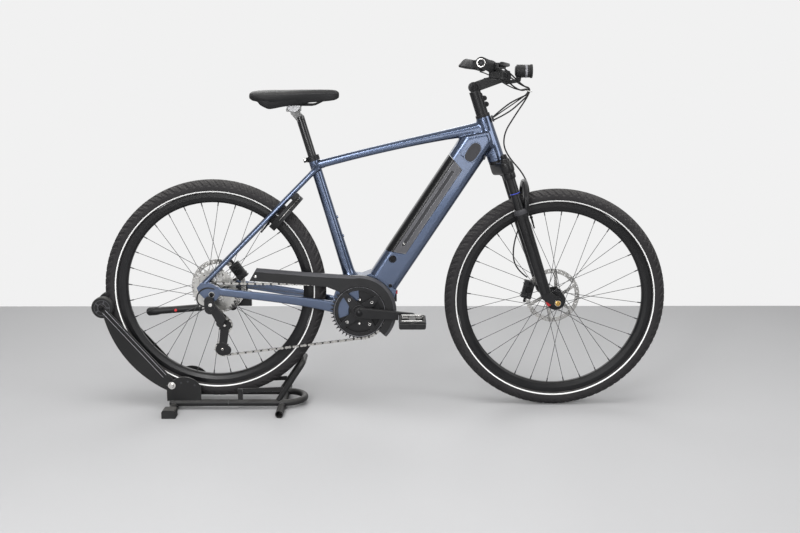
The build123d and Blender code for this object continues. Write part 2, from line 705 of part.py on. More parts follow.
# Wheels: tyre, rim, spokes, hub and brake disc
def tyre(x, z):
    c = tyre_r - tyre_section_r
    low, foot = 318.2, 311.3
    y_out = math.sqrt(tyre_section_r ** 2 - (c - low) ** 2)
    edge = (
        ThreePointArc((low, -y_out), (tyre_r, 0), (low, y_out))
        + Polyline((low, y_out), (low, 11.2), (foot, 11.2), (foot, 8.0), (low, 8.0))
        + ThreePointArc((low, 8.0), (tyre_r - 5.0, 0), (low, -8.0))
        + Polyline((low, -8.0), (foot, -8.0), (foot, -11.2), (low, -11.2), (low, -y_out))
    )
    return Pos(x, 0, z) * revolve(make_face(edge), Axis.Y)


def rim(x, z):
    outer = make_face(Polyline(
        (317.6, 13.2), (304, 13.2), (293, 10), (rim_in_r, 5), (rim_in_r, -5), (293, -10), (304, -13.2),
        (317.6, -13.2), (317.6, -11.6), (311, -11.6), (311, -6.5), (307, -5), (307, 5), (311, 6.5),
        (311, 11.6), (317.6, 11.6), close=True))
    inner = make_face(Polyline((303, 11.2), (294, 8), (289.5, 4), (289.5, -4), (294, -8), (303, -11.2),
                               (307.6, -8.5), (304.8, -5), (304.8, 5), (307.6, 8.5), close=True))
    return Pos(x, 0, z) * revolve(outer - inner, Axis.Y)


def spokes(x, z, flange_r, left_y, right_y, turn):
    # each flange holds half of the spokes, crossed three times
    out = []
    rim_wall = ring(x, z, rim_in_r + 12, rim_in_r, -12, 12)
    per = spoke_count // 2
    step = 360.0 / per
    for side, flange_y, shift in ((1, left_y, 0.0), (-1, right_y, step / 2)):
        for k in range(per):
            lead = 1 if k % 2 else -1
            hub_a = turn + shift + step * k
            rim_a = hub_a + lead * 3 * step
            y0 = flange_y + (3.5 if k % 2 else -3.5) * side
            y1 = side * (3.2 if k % 2 else 0.8)
            p = polar(flange_r, hub_a)
            q = polar(rim_in_r - 0.3, rim_a)
            a = Vector(x + p[0], y0, z + p[1])
            b = Vector(x + q[0], y1, z + q[1])
            d = (b - a).normalized()
            m = b - d * 12.0
            n = b + d * 2.0
            out.append(rod(tuple(a), tuple(m), spoke_r) + (rod(tuple(m), tuple(n), 1.9) - rim_wall))
    return out


def hub(x, z, flange_r, left_y, right_y, end_l, end_r, bore, core):
    pts = [(bore, end_r), (core - 2, end_r), (core - 2, right_y - 2.5), (core, right_y - 2.0),
           (core, right_y - 1.5), (flange_r + 3.0, right_y - 1.5), (flange_r + 3.0, right_y + 1.5),
           (core + 1, right_y + 4), (core - 1, 0), (core + 1, left_y - 4), (flange_r + 3.0, left_y - 1.5),
           (flange_r + 3.0, left_y + 1.5), (core, left_y + 1.5), (core, left_y + 5), (core - 2, left_y + 6),
           (core - 2, end_l), (bore, end_l)]
    return turned(pts, x, z)


def rotor(x, z, y, hole_r):
    face = Circle(rotor_r) - Circle(rotor_r - 15)
    hub_face = Circle(27)
    for k in range(6):
        end = polar(rotor_r - 14, 60 * k + 24)
        start = polar(24, 60 * k)
        face = face + make_hull((Pos(*start) * Circle(6)).edges() + (Pos(*end) * Circle(4.5)).edges())
    face = face + hub_face - Circle(hole_r)
    holes = [Pos(*polar(rotor_r - 7.5 + 3.2 * ((k % 3) - 1), 10 * k)) * Circle(2.2) for k in range(36)]
    for h in holes:
        face = face - h
    return slab_face(Pos(x, z) * face, y - 0.9, y + 0.9)


front_flange = (29.0, 26.0, -34.0)
rear_flange = (29.0, 34.0, -19.0)
front_hub = hub(front_x, front_z, *front_flange, 48.5, -48.5, front_axle_r + run_fit, 16.0)
rear_hub = hub(rear_x, rear_z, *rear_flange, rear_drop_y - 0.3, -22.5, rear_axle_r + run_fit, 16.0)
freehub = ring(rear_x, rear_z, 13.95, rear_axle_r + run_fit, -64.5, -22.5)
rear_hub = rear_hub + freehub
front_rotor = rotor(front_x, front_z, front_rotor_y, 14.1)
rear_rotor = rotor(rear_x, rear_z, rear_rotor_y, 14.1)
rear_turn = lock_angle + 360.0 / spoke_count / 2

# Axles
front_axle = disc(front_x, front_z, front_axle_r, -78, 78)
front_axle = front_axle + disc(front_x, front_z, 10.0, -80, -73) + disc(front_x, front_z, 10.0, 73, 79)
rear_axle = disc(rear_x, rear_z, rear_axle_r, -84, 84)
rear_axle = rear_axle + disc(rear_x, rear_z, 9.5, -84, -79.3) + disc(rear_x, rear_z, 9.5, 79.3, 84)

# Fork: steerer, crown and stanchions turn together
crown_face = make_hull(
    (Circle(26)).edges() + (Pos(leg_forward, leg_y) * Circle(22)).edges()
    + (Pos(leg_forward, -leg_y) * Circle(22)).edges())
crown = extrude(steer_plane(crown_s[0]) * crown_face, crown_s[1] - crown_s[0])
fork_upper = crown + rod(steer_at(28), steer_at(crown_s[0] + 5), steerer_r)
fork_upper = fork_upper + rod(steer_at(head_low_s + 0.5), steer_at(crown_s[0] + 1), 26.0)
for side in (-1, 1):
    y = side * leg_y
    leg_top = steer_at(crown_s[0] - 6, leg_forward, y)
    knob_top = steer_at(crown_s[0] - 12, leg_forward, y)
    fork_upper = fork_upper + rod(leg_top, steer_at(580, leg_forward, y), stanchion_r)
    fork_upper = fork_upper + rod(knob_top, steer_at(crown_s[0], leg_forward, y), 12.5)

# Fork: lower legs with arch and axle clamps slide on the stanchions
lowers = None
for side in (-1, 1):
    y = side * leg_y
    leg = loft([
        Plane(origin=steer_at(s, leg_forward, y), z_dir=(steer_d[0], 0, steer_d[1])) * Circle(r)
        for s, r in ((leg_top_s, leg_r + 2), (leg_top_s + 30, leg_r), (690, leg_r - 2))], ruled=True)
    foot_c = steer_at(700, leg_forward)
    y0, y1 = sorted((side * (drop_y + 0.5), side * 72.0))
    foot = slab_face(link_face((foot_c[0], foot_c[2]), 17, (front_x, front_z), 16), y0, y1)
    stub = slab_face(link_face((steer_at(672, leg_forward)[0], steer_at(672, leg_forward)[2]), 16,
                               (foot_c[0], foot_c[2]), 16), y0, y1)
    part = leg + foot + stub
    lowers = part if lowers is None else lowers + part
arch_path = ThreePointArc(steer_at(432, 32, -58), steer_at(338, 62, 0), steer_at(432, 32, 58))
arch_plane = Plane(origin=arch_path @ 0, z_dir=arch_path % 0, x_dir=(steer_n[0], 0, steer_n[1]))
arch = sweep(arch_plane * RectangleRounded(15, 24, 6), path=arch_path)
lowers = lowers + arch
for side in (-1, 1):
    lowers = lowers - rod(steer_at(leg_top_s - 40, leg_forward, side * leg_y),
                          steer_at(660, leg_forward, side * leg_y), stanchion_r + 0.06)
lowers = lowers - disc(front_x, front_z, front_axle_r + 0.02, -100, 100)

# Brake calipers straddle their discs
def caliper(x, z, y, at_deg, r):
    c = polar(r, at_deg)
    block = Box(34, 27, 58)
    block = fillet(block.edges().filter_by(Axis.Z), 5)
    slot = Pos(-8, 0, 0) * Box(36, 3.2, 90)
    shape = block - slot
    shape = shape + Pos(0, 17, 0) * Rot(90, 0, 0) * Cylinder(12, 8)
    return Pos(x + c[0], y, z + c[1]) * Rot(0, -at_deg, 0) * shape


front_caliper = caliper(front_x, front_z, front_rotor_y, 166.0, 84.0)
rear_caliper = caliper(rear_x, rear_z, rear_rotor_y, 37.0, 84.0)

# Stem: base on the steerer, arm on the tilt pivot
stem_base = rod(steer_at(12), steer_at(head_top_s - 0.5), 19.5)
stem_base = stem_base + rod(steer_at(head_top_s - 9), steer_at(head_top_s - 0.5), 23.0)
cheek_gap = 11.0
pivot_boss = disc(steer_x, steer_z, 17.0, -18, 18)
stem_base = stem_base + pivot_boss
tilt_room = disc(steer_x, steer_z, 17.0 + 1.0, -cheek_gap - 0.3, cheek_gap + 0.3)
stem_base = stem_base - tilt_room
arm_rest = math.degrees(math.atan2(bar_mid[2] - steer_z, bar_mid[0] - steer_x))
for turn in range(tilt_range[0], tilt_range[1] + 1, 10):
    tip = polar(60, arm_rest + turn)
    room = link_face((steer_x, steer_z), 17, (steer_x + tip[0], steer_z + tip[1]), 17)
    stem_base = stem_base - slab_face(room, -cheek_gap - 0.3, cheek_gap + 0.3)
stem_base = stem_base - rod(steer_at(28), steer_at(head_top_s + 5), steerer_r)
stem_base = stem_base + disc(steer_x, steer_z, 5.0, -18, 18)
stem_arm = disc(steer_x, steer_z, 15.5, -cheek_gap, cheek_gap)
stem_arm = stem_arm + slab_face(
    link_face((steer_x, steer_z), 15.5, (bar_mid[0], bar_mid[2]), 15), -cheek_gap, cheek_gap)
stem_arm = stem_arm + disc(bar_mid[0], bar_mid[2], 20.0, -24, 24)
stem_arm = stem_arm - disc(bar_mid[0], bar_mid[2], 12.7, -40, 40)
stem_arm = stem_arm - disc(steer_x, steer_z, 5.0 + run_fit, -40, 40)

# Handlebar: one bent tube with a thicker middle
bar_points = [
    (bar_end[0], -bar_end[1], bar_end[2]), (bar_knee[0], -bar_knee[1], bar_knee[2]),
    (bar_mid[0], 36.0, bar_mid[2]), (bar_mid[0], -36.0, bar_mid[2]), bar_knee, bar_end]
bar_path = FilletPolyline(*bar_points, radius=45)
bar_face = Plane(origin=bar_path @ 0, z_dir=bar_path % 0) * (Circle(bar_r) - Circle(bar_r - 2.2))
handlebar = sweep(bar_face, path=bar_path)
bar_sleeve = disc(bar_mid[0], bar_mid[2], 12.7, -33, 33) - disc(bar_mid[0], bar_mid[2], bar_r - 1, -40, 40)
handlebar = handlebar + bar_sleeve

# Grip line frame: z out along the bar, x forward, y up
grip_v = Vector(*bar_end) - Vector(*bar_knee)
grip_d = grip_v.normalized()
grip_span = grip_v.length
grip_x = (Vector(1, 0, 0) - grip_d * grip_d.X).normalized()


def grip_plane(t):
    return Plane(origin=Vector(*bar_knee) + grip_d * t, x_dir=grip_x, z_dir=grip_d)


def grip_body():
    t0, t1 = grip_span - grip_len, grip_span + 3.0
    sections = []
    for t, wing, fat in ((t0, 18, 15.5), (t0 + 40, 19, 15.5), (t1 - 34, 40, 15.0), (t1, 44, 14.0)):
        tail = (-wing, -7.0)
        face = make_hull((Circle(fat)).edges() + (Pos(*tail) * Circle(5.0)).edges())
        sections.append(grip_plane(t) * face)
    body = loft(sections, ruled=True)
    hole = extrude(grip_plane(t0 - 5) * Circle(bar_r + 0.05), grip_len + 5.3)
    return body - hole


def in_grip(shape):
    return grip_plane(0).location * shape


grip_right = grip_body()
grips = [grip_right, mirror(grip_right, about=Plane.XZ)]

# Controls on the bar: brake bodies both sides, shifter right, remote left
lever_at = (38.0, 62.0)


def brake_body():
    band = Pos(0, 0, 42) * extrude(Circle(17) - Circle(bar_r + 0.05), 17)
    tank = Pos(28, -1, 50) * Box(30, 15, 36)
    tank = fillet(tank.edges().filter_by(Axis.Z), 4)
    neck = Pos(16, -1, 50.5) * Box(14, 12, 15)
    neck = neck - Pos(0, 0, 40) * extrude(Circle(bar_r + 0.05), 30)
    body = band + neck + tank
    slot = Pos(lever_at[0] + 4, -1, lever_at[1] + 6) * Box(30, 8.4, 34)
    pin = Pos(lever_at[0], -1, lever_at[1]) * Rot(90, 0, 0) * Cylinder(2.5, 15)
    return body - slot + pin


def brake_lever():
    pts = [(29, 58), (45, 54), (51, 62), (64, 88), (66, 120), (60, 196), (53, 200), (50, 194), (55, 120),
           (50, 92), (36, 72), (30, 68)]
    plane = Plane(origin=(0, 3.0, 0), x_dir=(1, 0, 0), z_dir=(0, -1, 0))
    blade = extrude(plane * make_face(Polyline(*pts, close=True)), 8.0)
    return blade - Pos(lever_at[0], -1, lever_at[1]) * Rot(90, 0, 0) * Cylinder(2.5 + run_fit, 30)


def shifter_body():
    band = Pos(0, 0, 14) * extrude(Circle(16) - Circle(bar_r + 0.05), 12)
    pod = Pos(12, -25, 24) * Box(40, 20, 38)
    pod = fillet(pod.edges().filter_by(Axis.Y), 7)
    neck = Pos(4, -15, 20) * Box(16, 8, 12)
    return band + neck - Pos(0, 0, 5) * extrude(Circle(bar_r + 0.05), 40) + pod


def shift_paddle():
    pts = [(18, 14), (24, 20), (22, 32), (2, 52), (-14, 62), (-20, 56), (-8, 44), (6, 28), (10, 16)]
    plane = Plane(origin=(0, -35.5, 0), x_dir=(1, 0, 0), z_dir=(0, -1, 0))
    blade = extrude(plane * make_face(Polyline(*pts, close=True)), 4.0)
    return blade - Pos(16, -37, 22) * Rot(90, 0, 0) * Cylinder(2.0 + run_fit, 20)


shift_pin = Pos(16, -37.5, 22) * Rot(90, 0, 0) * Cylinder(2.0, 7)
body_right = in_grip(brake_body())
shifter = in_grip(shifter_body() + shift_pin)
lever_right = in_grip(brake_lever())
paddle = in_grip(shift_paddle())
body_left = mirror(body_right, about=Plane.XZ)
lever_left = mirror(lever_right, about=Plane.XZ)


def remote_body():
    band = Pos(0, 0, 66) * extrude(Circle(17) - Circle(bar_r + 0.05), 8)
    pad = Pos(-16, 6, 70) * Box(20, 26, 8)
    pad = pad - Pos(0, 0, 40) * extrude(Circle(bar_r + 0.05), 60)
    return band + pad


remote = mirror(in_grip(remote_body()), about=Plane.XZ)
lamp_pivot = (440.0, 1064.0)
lamp_arm = slab_face(link_face((bar_mid[0] + 10, bar_mid[2] - 18), 6, lamp_pivot, 6), -5, 5)
lamp_arm = lamp_arm - disc(bar_mid[0], bar_mid[2], 20.0, -30, 30)
lamp_arm = lamp_arm - disc(lamp_pivot[0], lamp_pivot[1], 2.5, -20, 20)

# Headlamp on its own small hinge
lamp_z = 1093.0
lamp = Pos(453.5, 0, lamp_z) * Rot(0, 90, 0) * Cylinder(20.0, 50)
lamp = fillet(lamp.edges().filter_by(GeomType.CIRCLE).sort_by(Axis.X)[:1], 9)
lamp = lamp + Pos(479.5, 0, lamp_z) * Rot(0, 90, 0) * (Cylinder(21.5, 6) - Cylinder(18.5, 8))
for y0, y1 in ((-9.0, -5.4), (5.4, 9.0)):
    ear_pts = [(432, lamp_z - 16), (448, lamp_z - 16), (446, 1062), (440, 1057), (434, 1062)]
    lamp = lamp + slab(ear_pts, y0, y1)
lamp = lamp + disc(lamp_pivot[0], lamp_pivot[1], 2.45, -9, 9)

# Seat post with its head, saddle rails in the clamp, and the saddle itself
rail_h = 989.0
post_low, post_top = seat_at(690), seat_at(rail_h - 37)
seat_post = rod(post_low, post_top, post_r) - rod(post_low, seat_at(rail_h - 51), post_r - 2.5)
saddle_x = post_top[0] - 16.68
head_c = (saddle_x, rail_h - 17)
post_neck = link_face((post_top[0], post_top[2] - 4), 13, (head_c[0], head_c[1] - 6), 12)
seat_post = seat_post + slab_face(post_neck, -11, 11)
tilt_c = (saddle_x, rail_h - 1)
seat_post = seat_post + slab_face(Pos(head_c[0] - 2, head_c[1] + 1) * RectangleRounded(46, 12, 4), -17, 17)
cradle_seat = disc(tilt_c[0], tilt_c[1], 22.3, -40, 40)
seat_post = seat_post - cradle_seat


def saddle_rail(side, r):
    pts = [(saddle_x - 94, side * 38, rail_h + 17), (saddle_x - 77, side * 24, rail_h),
           (saddle_x + 63, side * 22, rail_h), (saddle_x + 108, side * 12, rail_h + 21)]
    path = FilletPolyline(*pts, radius=14)
    return sweep(Plane(origin=path @ 0, z_dir=path % 0) * Circle(r), path=path)


rails = [saddle_rail(-1, 3.5), saddle_rail(1, 3.5)]
cradle_low = disc(tilt_c[0], tilt_c[1], 22.0, -28, 28) & Pos(tilt_c[0], 0, tilt_c[1] - 12) * Box(80, 80, 24)
cradle_top = Pos(tilt_c[0], 0, tilt_c[1] + 7.5) * Box(38, 56, 7)
clamp = cradle_low + cradle_top + Pos(tilt_c[0], 0, tilt_c[1] + 2) * Box(30, 30, 8)
for side in (-1, 1):
    clamp = clamp - rod((tilt_c[0] - 60, side * 23.0, rail_h), (tilt_c[0] + 60, side * 22.6, rail_h), 3.5)
saddle_rails = [clamp]
for r in rails:
    saddle_rails.append(r - clamp)

# Saddle: along, half width, top above the rails, depth, dip of the middle
saddle_stations = (
    (-132.0, 66.0, 42.0, 20.0, 2.0), (-120.0, 84.0, 47.0, 30.0, 4.0), (-82.0, 90.0, 47.0, 40.0, 5.0),
    (-32.0, 78.0, 44.0, 40.0, 5.0), (28.0, 46.0, 43.0, 36.0, 4.0), (88.0, 27.0, 44.0, 33.0, 2.0),
    (126.0, 22.0, 42.0, 28.0, 1.0), (139.0, 15.0, 37.0, 18.0, 0.5))


def saddle_section(along, w, rise, deep, dip):
    top = rail_h + rise
    half = [(0.0, top - dip), (0.36 * w, top), (0.74 * w, top - 0.10 * deep), (0.97 * w, top - 0.36 * deep),
            (w, top - 0.68 * deep), (0.86 * w, top - 0.97 * deep), (0.5 * w, top - 0.86 * deep),
            (0.0, top - 0.70 * deep)]
    pts = half + [(-y, z) for y, z in reversed(half[1:-1])]
    plane = Plane(origin=(saddle_x + along, 0, 0), x_dir=(0, 1, 0), z_dir=(1, 0, 0))
    return plane * make_face(Spline(*pts, periodic=True))


saddle = loft([saddle_section(*s) for s in saddle_stations])
for r in rails:
    saddle = saddle - r
for side in (-1, 1):
    saddle = saddle - saddle_rail(side, 3.8)
saddle = max(saddle.solids(), key=lambda s: s.volume)

# Kickstand on the left chain stay, folded to the rear
kick_pivot = (rear_x + 39.2, 88.0, rear_z - 73.5)
kick_tilt = 12.0
kick_axis = (0.0, -math.cos(math.radians(kick_tilt)), -math.sin(math.radians(kick_tilt)))
kick_plane = Plane(origin=kick_pivot, x_dir=(-1, 0, 0), z_dir=kick_axis)
kick_leg = extrude(kick_plane * Circle(15.0), 6.5, both=True)
kick_run = (-289.0, 5.0, -25.0)


def on_leg(share):
    return tuple(kick_pivot[i] + share * kick_run[i] for i in range(3))


for start, stop, r in ((0.031, 0.0934, 6.4), (0.0761, 0.7024, 9.0), (0.6678, 1.0, 7.2), (0.9377, 1.0, 11.5)):
    kick_leg = kick_leg + rod(on_leg(start), on_leg(stop), r)
kick_leg = kick_leg - extrude(kick_plane * Circle(4.0 + run_fit), 40, both=True)
kick_bracket = extrude(kick_plane * Circle(4.0), 13.0, both=True)
kick_bracket = kick_bracket + extrude(kick_plane.offset(6.5 + fit_gap) * Circle(15.0), 6.0)
pad_low = Pos(rear_x + 66.2, 76.0, rear_z - 51.5) * Box(76, 12, 44)
pad_low = pad_low + Pos(rear_x + 66.2, 70, rear_z - 19.0) * Box(52, 20, 23)
kick_room = extrude(kick_plane * Circle(16.0), 6.5 + fit_gap, both=True)
sweep_room = extrude(kick_plane * (Pos(60, 0) * Rectangle(120, 34)), 11, both=True)
kick_bracket = kick_bracket + pad_low - kick_room - sweep_room
kick_bracket = kick_bracket + extrude(kick_plane * Circle(4.0), 13.0, both=True)
kick_bracket = kick_bracket - chain_stays[1]
kick_bracket = max(kick_bracket.solids(), key=lambda s: s.volume)

# Stand: bent rail, two cross tubes, side plates and the front hoop, welded
rail_back, rail_front = rear_x - 153.8, rear_x + 224.2
rail_path = (
    Line((rail_back, -rail_y, rail_z), (rail_front, -rail_y, rail_z))
    + ThreePointArc((rail_front, -rail_y, rail_z), (rail_front + rail_y, 0, rail_z),
                    (rail_front, rail_y, rail_z))
    + Line((rail_front, rail_y, rail_z), (rail_back, rail_y, rail_z)))
rail_plane = Plane(origin=(rail_back, -rail_y, rail_z), z_dir=(1, 0, 0))
stand_rail = sweep(rail_plane * Circle(rail_r), path=rail_path)
cross_r = 12.5
cross_front_x, cross_back_x = rail_front - 10.0, rail_back + 14.0
stand = stand_rail + rod((cross_front_x, -foot_y, cross_r), (cross_front_x, foot_y, cross_r), cross_r)
stand = stand + rod((cross_back_x, -foot_y, cross_r), (cross_back_x, foot_y, cross_r), cross_r)
for y0, y1 in ((-foot_y - 1, -foot_y + 40), (foot_y - 40, foot_y + 1)):
    stand = stand - rod((cross_front_x, y0, cross_r), (cross_front_x, y1, cross_r), cross_r - 1.8)
plate_x = rail_back + 50.0
plate_pts = [(plate_x - 58, 30), (plate_x - 58, 84)]
plate_pts += [(plate_x + polar(56, a)[0], 62 + polar(50, a)[1]) for a in range(160, 14, -12)]
plate_pts += [(plate_x + 54, 50), (plate_x + 54, 30)]
for y0, y1 in ((-66, -62), (62, 66)):
    stand = stand + slab(plate_pts, y0, y1) - disc(arm_pivot[0], arm_pivot[1], 5.0 + run_fit, y0 - 2, y1 + 2)
post_x = rear_x + 78.2
for y0, y1 in ((-64, -56), (56, 64)):
    stand = stand + slab([(post_x - 8, 28), (post_x + 8, 28), (post_x + 8, 70), (post_x - 8, 70)], y0, y1)
    brace = [(post_x - 8, 56), (post_x - 8, 70), (rail_front - 6, 76), (rail_front - 2, 62)]
    stand = stand + slab(brace, y0 + 2, y1 - 2)
hoop_dist = tyre_r + fit_gap + 9.0
hoop_top = (rear_x + polar(hoop_dist, -40.0)[0], rear_z + polar(hoop_dist, -40.0)[1])
hoop_foot = rail_front - 22.0
hoop_pts = [(hoop_foot, -rail_y, 30), (hoop_top[0], -rail_y + 6, hoop_top[1]),
            (hoop_top[0], rail_y - 6, hoop_top[1]), (hoop_foot, rail_y, 30)]
hoop_path = FilletPolyline(*hoop_pts, radius=18)
hoop = sweep(Plane(origin=hoop_path @ 0, z_dir=hoop_path % 0) * Circle(9.0), path=hoop_path)
stand = stand + hoop

# Stand feet: flat-bottomed caps on the rear cross tube
feet = []
for side in (-1, 1):
    y0, y1 = sorted((side * (foot_y - 34), side * (foot_y + 5)))
    cap = slab_face(Pos(cross_back_x, 14.0) * RectangleRounded(44, 28, 9), y0, y1)
    foot_x0, foot_x1 = cross_back_x - 22, cross_back_x + 22
    base = slab([(foot_x0, 0), (foot_x1, 0), (foot_x1, 10), (foot_x0, 10)], y0, y1)
    cap = cap + base - rod((cross_back_x, -foot_y, cross_r), (cross_back_x, foot_y, cross_r), cross_r)
    feet.append(max(cap.solids(), key=lambda s: s.volume))

# Stand arm: two cheek plates on pivot pins, straight inside and round outside as the tyre,
# joined by the roller axle behind it
arm_y = 55.0
cheek_r = tyre_r + 5.0
cheek_from = math.degrees(math.atan2(roller_z - rear_z, roller_x - rear_x)) % 360 + 5.0
cheek_to = math.degrees(math.atan2(arm_pivot[1] - rear_z, arm_pivot[0] - rear_x)) % 360 + 2.0
cheek_mid = polar(cheek_r, (cheek_from + cheek_to) / 2)
cheek_ends = [polar(cheek_r, cheek_from), polar(cheek_r, cheek_to)]
cheek_ends = [(rear_x + e[0], rear_z + e[1]) for e in cheek_ends]
cheek_edge = (
    ThreePointArc(cheek_ends[0], (rear_x + cheek_mid[0], rear_z + cheek_mid[1]), cheek_ends[1])
    + Polyline(cheek_ends[1], arm_pivot, (roller_x, roller_z), cheek_ends[0])
)
arm_bars = None
axle_pin_r = 5.0
for side in (-1, 1):
    y0, y1 = sorted((side * (arm_y - 2.5), side * (arm_y + 2.5)))
    bar = slab_face(link_face(arm_pivot, 12, (roller_x, roller_z), 10), y0, y1)
    bar = bar + slab_face(make_face(cheek_edge), y0, y1)
    pin_y = sorted((side * (arm_y - 2.5), side * 69.0))
    bar = bar + disc(arm_pivot[0], arm_pivot[1], 5.0, pin_y[0], pin_y[1])
    head_y = sorted((side * 66.5, side * 69.5))
    bar = bar + disc(arm_pivot[0], arm_pivot[1], 9.0, head_y[0], head_y[1])
    arm_bars = bar if arm_bars is None else arm_bars + bar
arm_bars = arm_bars + disc(roller_x, roller_z, axle_pin_r, -arm_y - 4, arm_y + 4)
rollers = []
for side in (-1, 1):
    y0, y1 = sorted((side * 28.0, side * (arm_y - 4)))
    wheel = disc(roller_x, roller_z, roller_big_r, y0, y1)
    wheel = fillet(wheel.edges().filter_by(GeomType.CIRCLE), 4)
    rollers.append(wheel - disc(roller_x, roller_z, axle_pin_r + run_fit, y0 - 2, y1 + 2))

# Cables: brake hoses, gear cable and lamp lead, whole from control to frame or caliper
cable_r = 2.4


def cord(points, r, share=0.42):
    # straight runs joined by arcs, each arc as wide as its shorter run allows
    vs = [Vector(*p) for p in points]
    radii = []
    for a, b, c in zip(vs, vs[1:], vs[2:]):
        u, w = (b - a), (c - b)
        turn = math.acos(max(-1, min(1, u.normalized().dot(w.normalized()))))
        radii.append(share * min(u.length, w.length) / math.tan(turn / 2))
    print("cord arc radii", [round(v, 1) for v in radii])
    path = FilletPolyline(*points, radius=radii)
    return sweep(Plane(origin=path @ 0, z_dir=path % 0) * Circle(r), path=path)


def grip_point(x, y, z, side=-1):
    p = Vector(*bar_knee) + grip_x * x + grip_d * z + (grip_d.cross(grip_x)) * y
    return (p.X, p.Y if side < 0 else -p.Y, p.Z)


rear_hose = cord([grip_point(28, -1, 31.5), grip_point(30, -2, -20), (462, -60, 1042), (452, -30, 985),
                  steer_at(100, 62, -14), steer_at(113, 27, -11)], cable_r)
gear_cable = cord([grip_point(12, -25, 3.6), grip_point(22, -28, -34), (440, -44, 1000), steer_at(92, 56, 2),
                   steer_at(109, 27, 2)], cable_r)
remote_lead = cord([grip_point(2, -19.3, 72, 1), grip_point(8, -22, 10, 1), (432, 44, 1012),
                    steer_at(97, 60, 14), steer_at(111, 27, 12)], cable_r * 0.8)
front_hose = cord([grip_point(28, -1, 31.5, 1), grip_point(30, -2, -20, 1), (470, 46, 1036),
                   steer_at(105, 78, 38), steer_at(185, 52, 30), steer_at(326, 81, 22),
                   steer_at(405, 70, 41), steer_at(458, 22, 38),
                   steer_at(540, -34, 38), steer_at(610, -44, 44), steer_at(650, -14, 47)], cable_r)

save("head_tube", head_tube)
save("top_tube", top_tube)
save("down_tube", down_tube)
save("seat_tube", seat_tube)
save("seat_stays", *seat_stays)
save("chain_stays", *chain_stays)
save("motor_cradle", cradle)
save("motor_unit", motor)
save("seat_collar", collar, collar_bolt)
save("ring_lock", lock_body)
save("ring_lock_bolt", lock_bolt)
save("chain_guard", chain_guard)
save("battery_pack", battery)
save("battery_lock", key_barrel)
save("cranks", cranks)
save("chainring", chainring)
save("pedal_right", pedal(0, -1))
save("pedal_left", pedal(180, 1))
save("cassette", cassette)
save("chain", *chain)
save("derailleur_knuckle", derailleur_knuckle)
save("derailleur_link", derailleur_link)
save("derailleur_cage", cage)
save("pulley_upper", pulley((guide_x, guide_z), phase[1]))
save("pulley_lower", pulley((tension_x, tension_z), phase[2]))
save("tyre_front", tyre(front_x, front_z))
save("tyre_rear", tyre(rear_x, rear_z))
save("rim_front", rim(front_x, front_z))
save("rim_rear", rim(rear_x, rear_z))
save("spokes_front", *spokes(front_x, front_z, *front_flange, 8.0))
save("spokes_rear", *spokes(rear_x, rear_z, *rear_flange, rear_turn))
save("hub_front", front_hub)
save("hub_rear", rear_hub)
save("rotor_front", front_rotor)
save("rotor_rear", rear_rotor)
save("front_axle", front_axle)
save("rear_axle", rear_axle)
save("fork_upper", fork_upper)
save("fork_lowers", lowers)
save("front_caliper", front_caliper)
save("rear_caliper", rear_caliper)
save("stem_base", stem_base)
save("stem_arm", stem_arm)
save("handlebar", handlebar)
save("grips", *grips)
save("control_housings", body_right, body_left, shifter, remote, lamp_arm)
save("brake_lever_right", lever_right)
save("brake_lever_left", lever_left)
save("shift_lever", paddle)
save("headlamp", lamp)
save("seat_post", seat_post)
save("saddle_rails", *saddle_rails)
save("saddle_pad", saddle)
save("kickstand_leg", kick_leg)
save("kickstand_bracket", kick_bracket)
save("stand_base", stand)
save("stand_feet", *feet)
save("stand_arm", arm_bars)
save("stand_rollers", *rollers)
save("cables", rear_hose, gear_cable, remote_lead, front_hose)
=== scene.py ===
import json
import math
import bmesh
import bpy
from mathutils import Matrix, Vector


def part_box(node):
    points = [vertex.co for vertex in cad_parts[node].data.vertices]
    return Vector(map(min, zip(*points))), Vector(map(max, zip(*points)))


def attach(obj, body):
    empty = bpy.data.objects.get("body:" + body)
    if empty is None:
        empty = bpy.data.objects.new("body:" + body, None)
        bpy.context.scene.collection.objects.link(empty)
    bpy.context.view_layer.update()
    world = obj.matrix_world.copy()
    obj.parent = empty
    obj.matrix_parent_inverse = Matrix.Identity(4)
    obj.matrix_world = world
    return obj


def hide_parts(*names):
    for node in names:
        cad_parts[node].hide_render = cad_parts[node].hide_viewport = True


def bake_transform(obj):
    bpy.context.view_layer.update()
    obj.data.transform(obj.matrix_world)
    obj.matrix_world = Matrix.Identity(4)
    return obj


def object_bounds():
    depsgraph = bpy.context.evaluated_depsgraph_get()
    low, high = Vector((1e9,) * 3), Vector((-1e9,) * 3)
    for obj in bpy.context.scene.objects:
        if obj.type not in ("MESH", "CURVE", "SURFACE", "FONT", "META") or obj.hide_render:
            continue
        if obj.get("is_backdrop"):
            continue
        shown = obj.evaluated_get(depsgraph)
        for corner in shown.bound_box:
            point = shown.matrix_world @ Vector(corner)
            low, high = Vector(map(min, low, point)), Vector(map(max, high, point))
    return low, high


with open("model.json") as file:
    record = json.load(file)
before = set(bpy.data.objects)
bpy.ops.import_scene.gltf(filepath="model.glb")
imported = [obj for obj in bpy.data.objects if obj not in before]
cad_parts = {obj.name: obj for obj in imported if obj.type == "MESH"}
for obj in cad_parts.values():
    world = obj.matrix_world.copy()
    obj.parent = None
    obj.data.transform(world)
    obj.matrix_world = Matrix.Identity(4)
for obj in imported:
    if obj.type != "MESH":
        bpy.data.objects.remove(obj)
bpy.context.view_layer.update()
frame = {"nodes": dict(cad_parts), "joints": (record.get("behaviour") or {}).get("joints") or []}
nodes = frame["nodes"]
joints = {j["name"]: j for j in frame["joints"]}


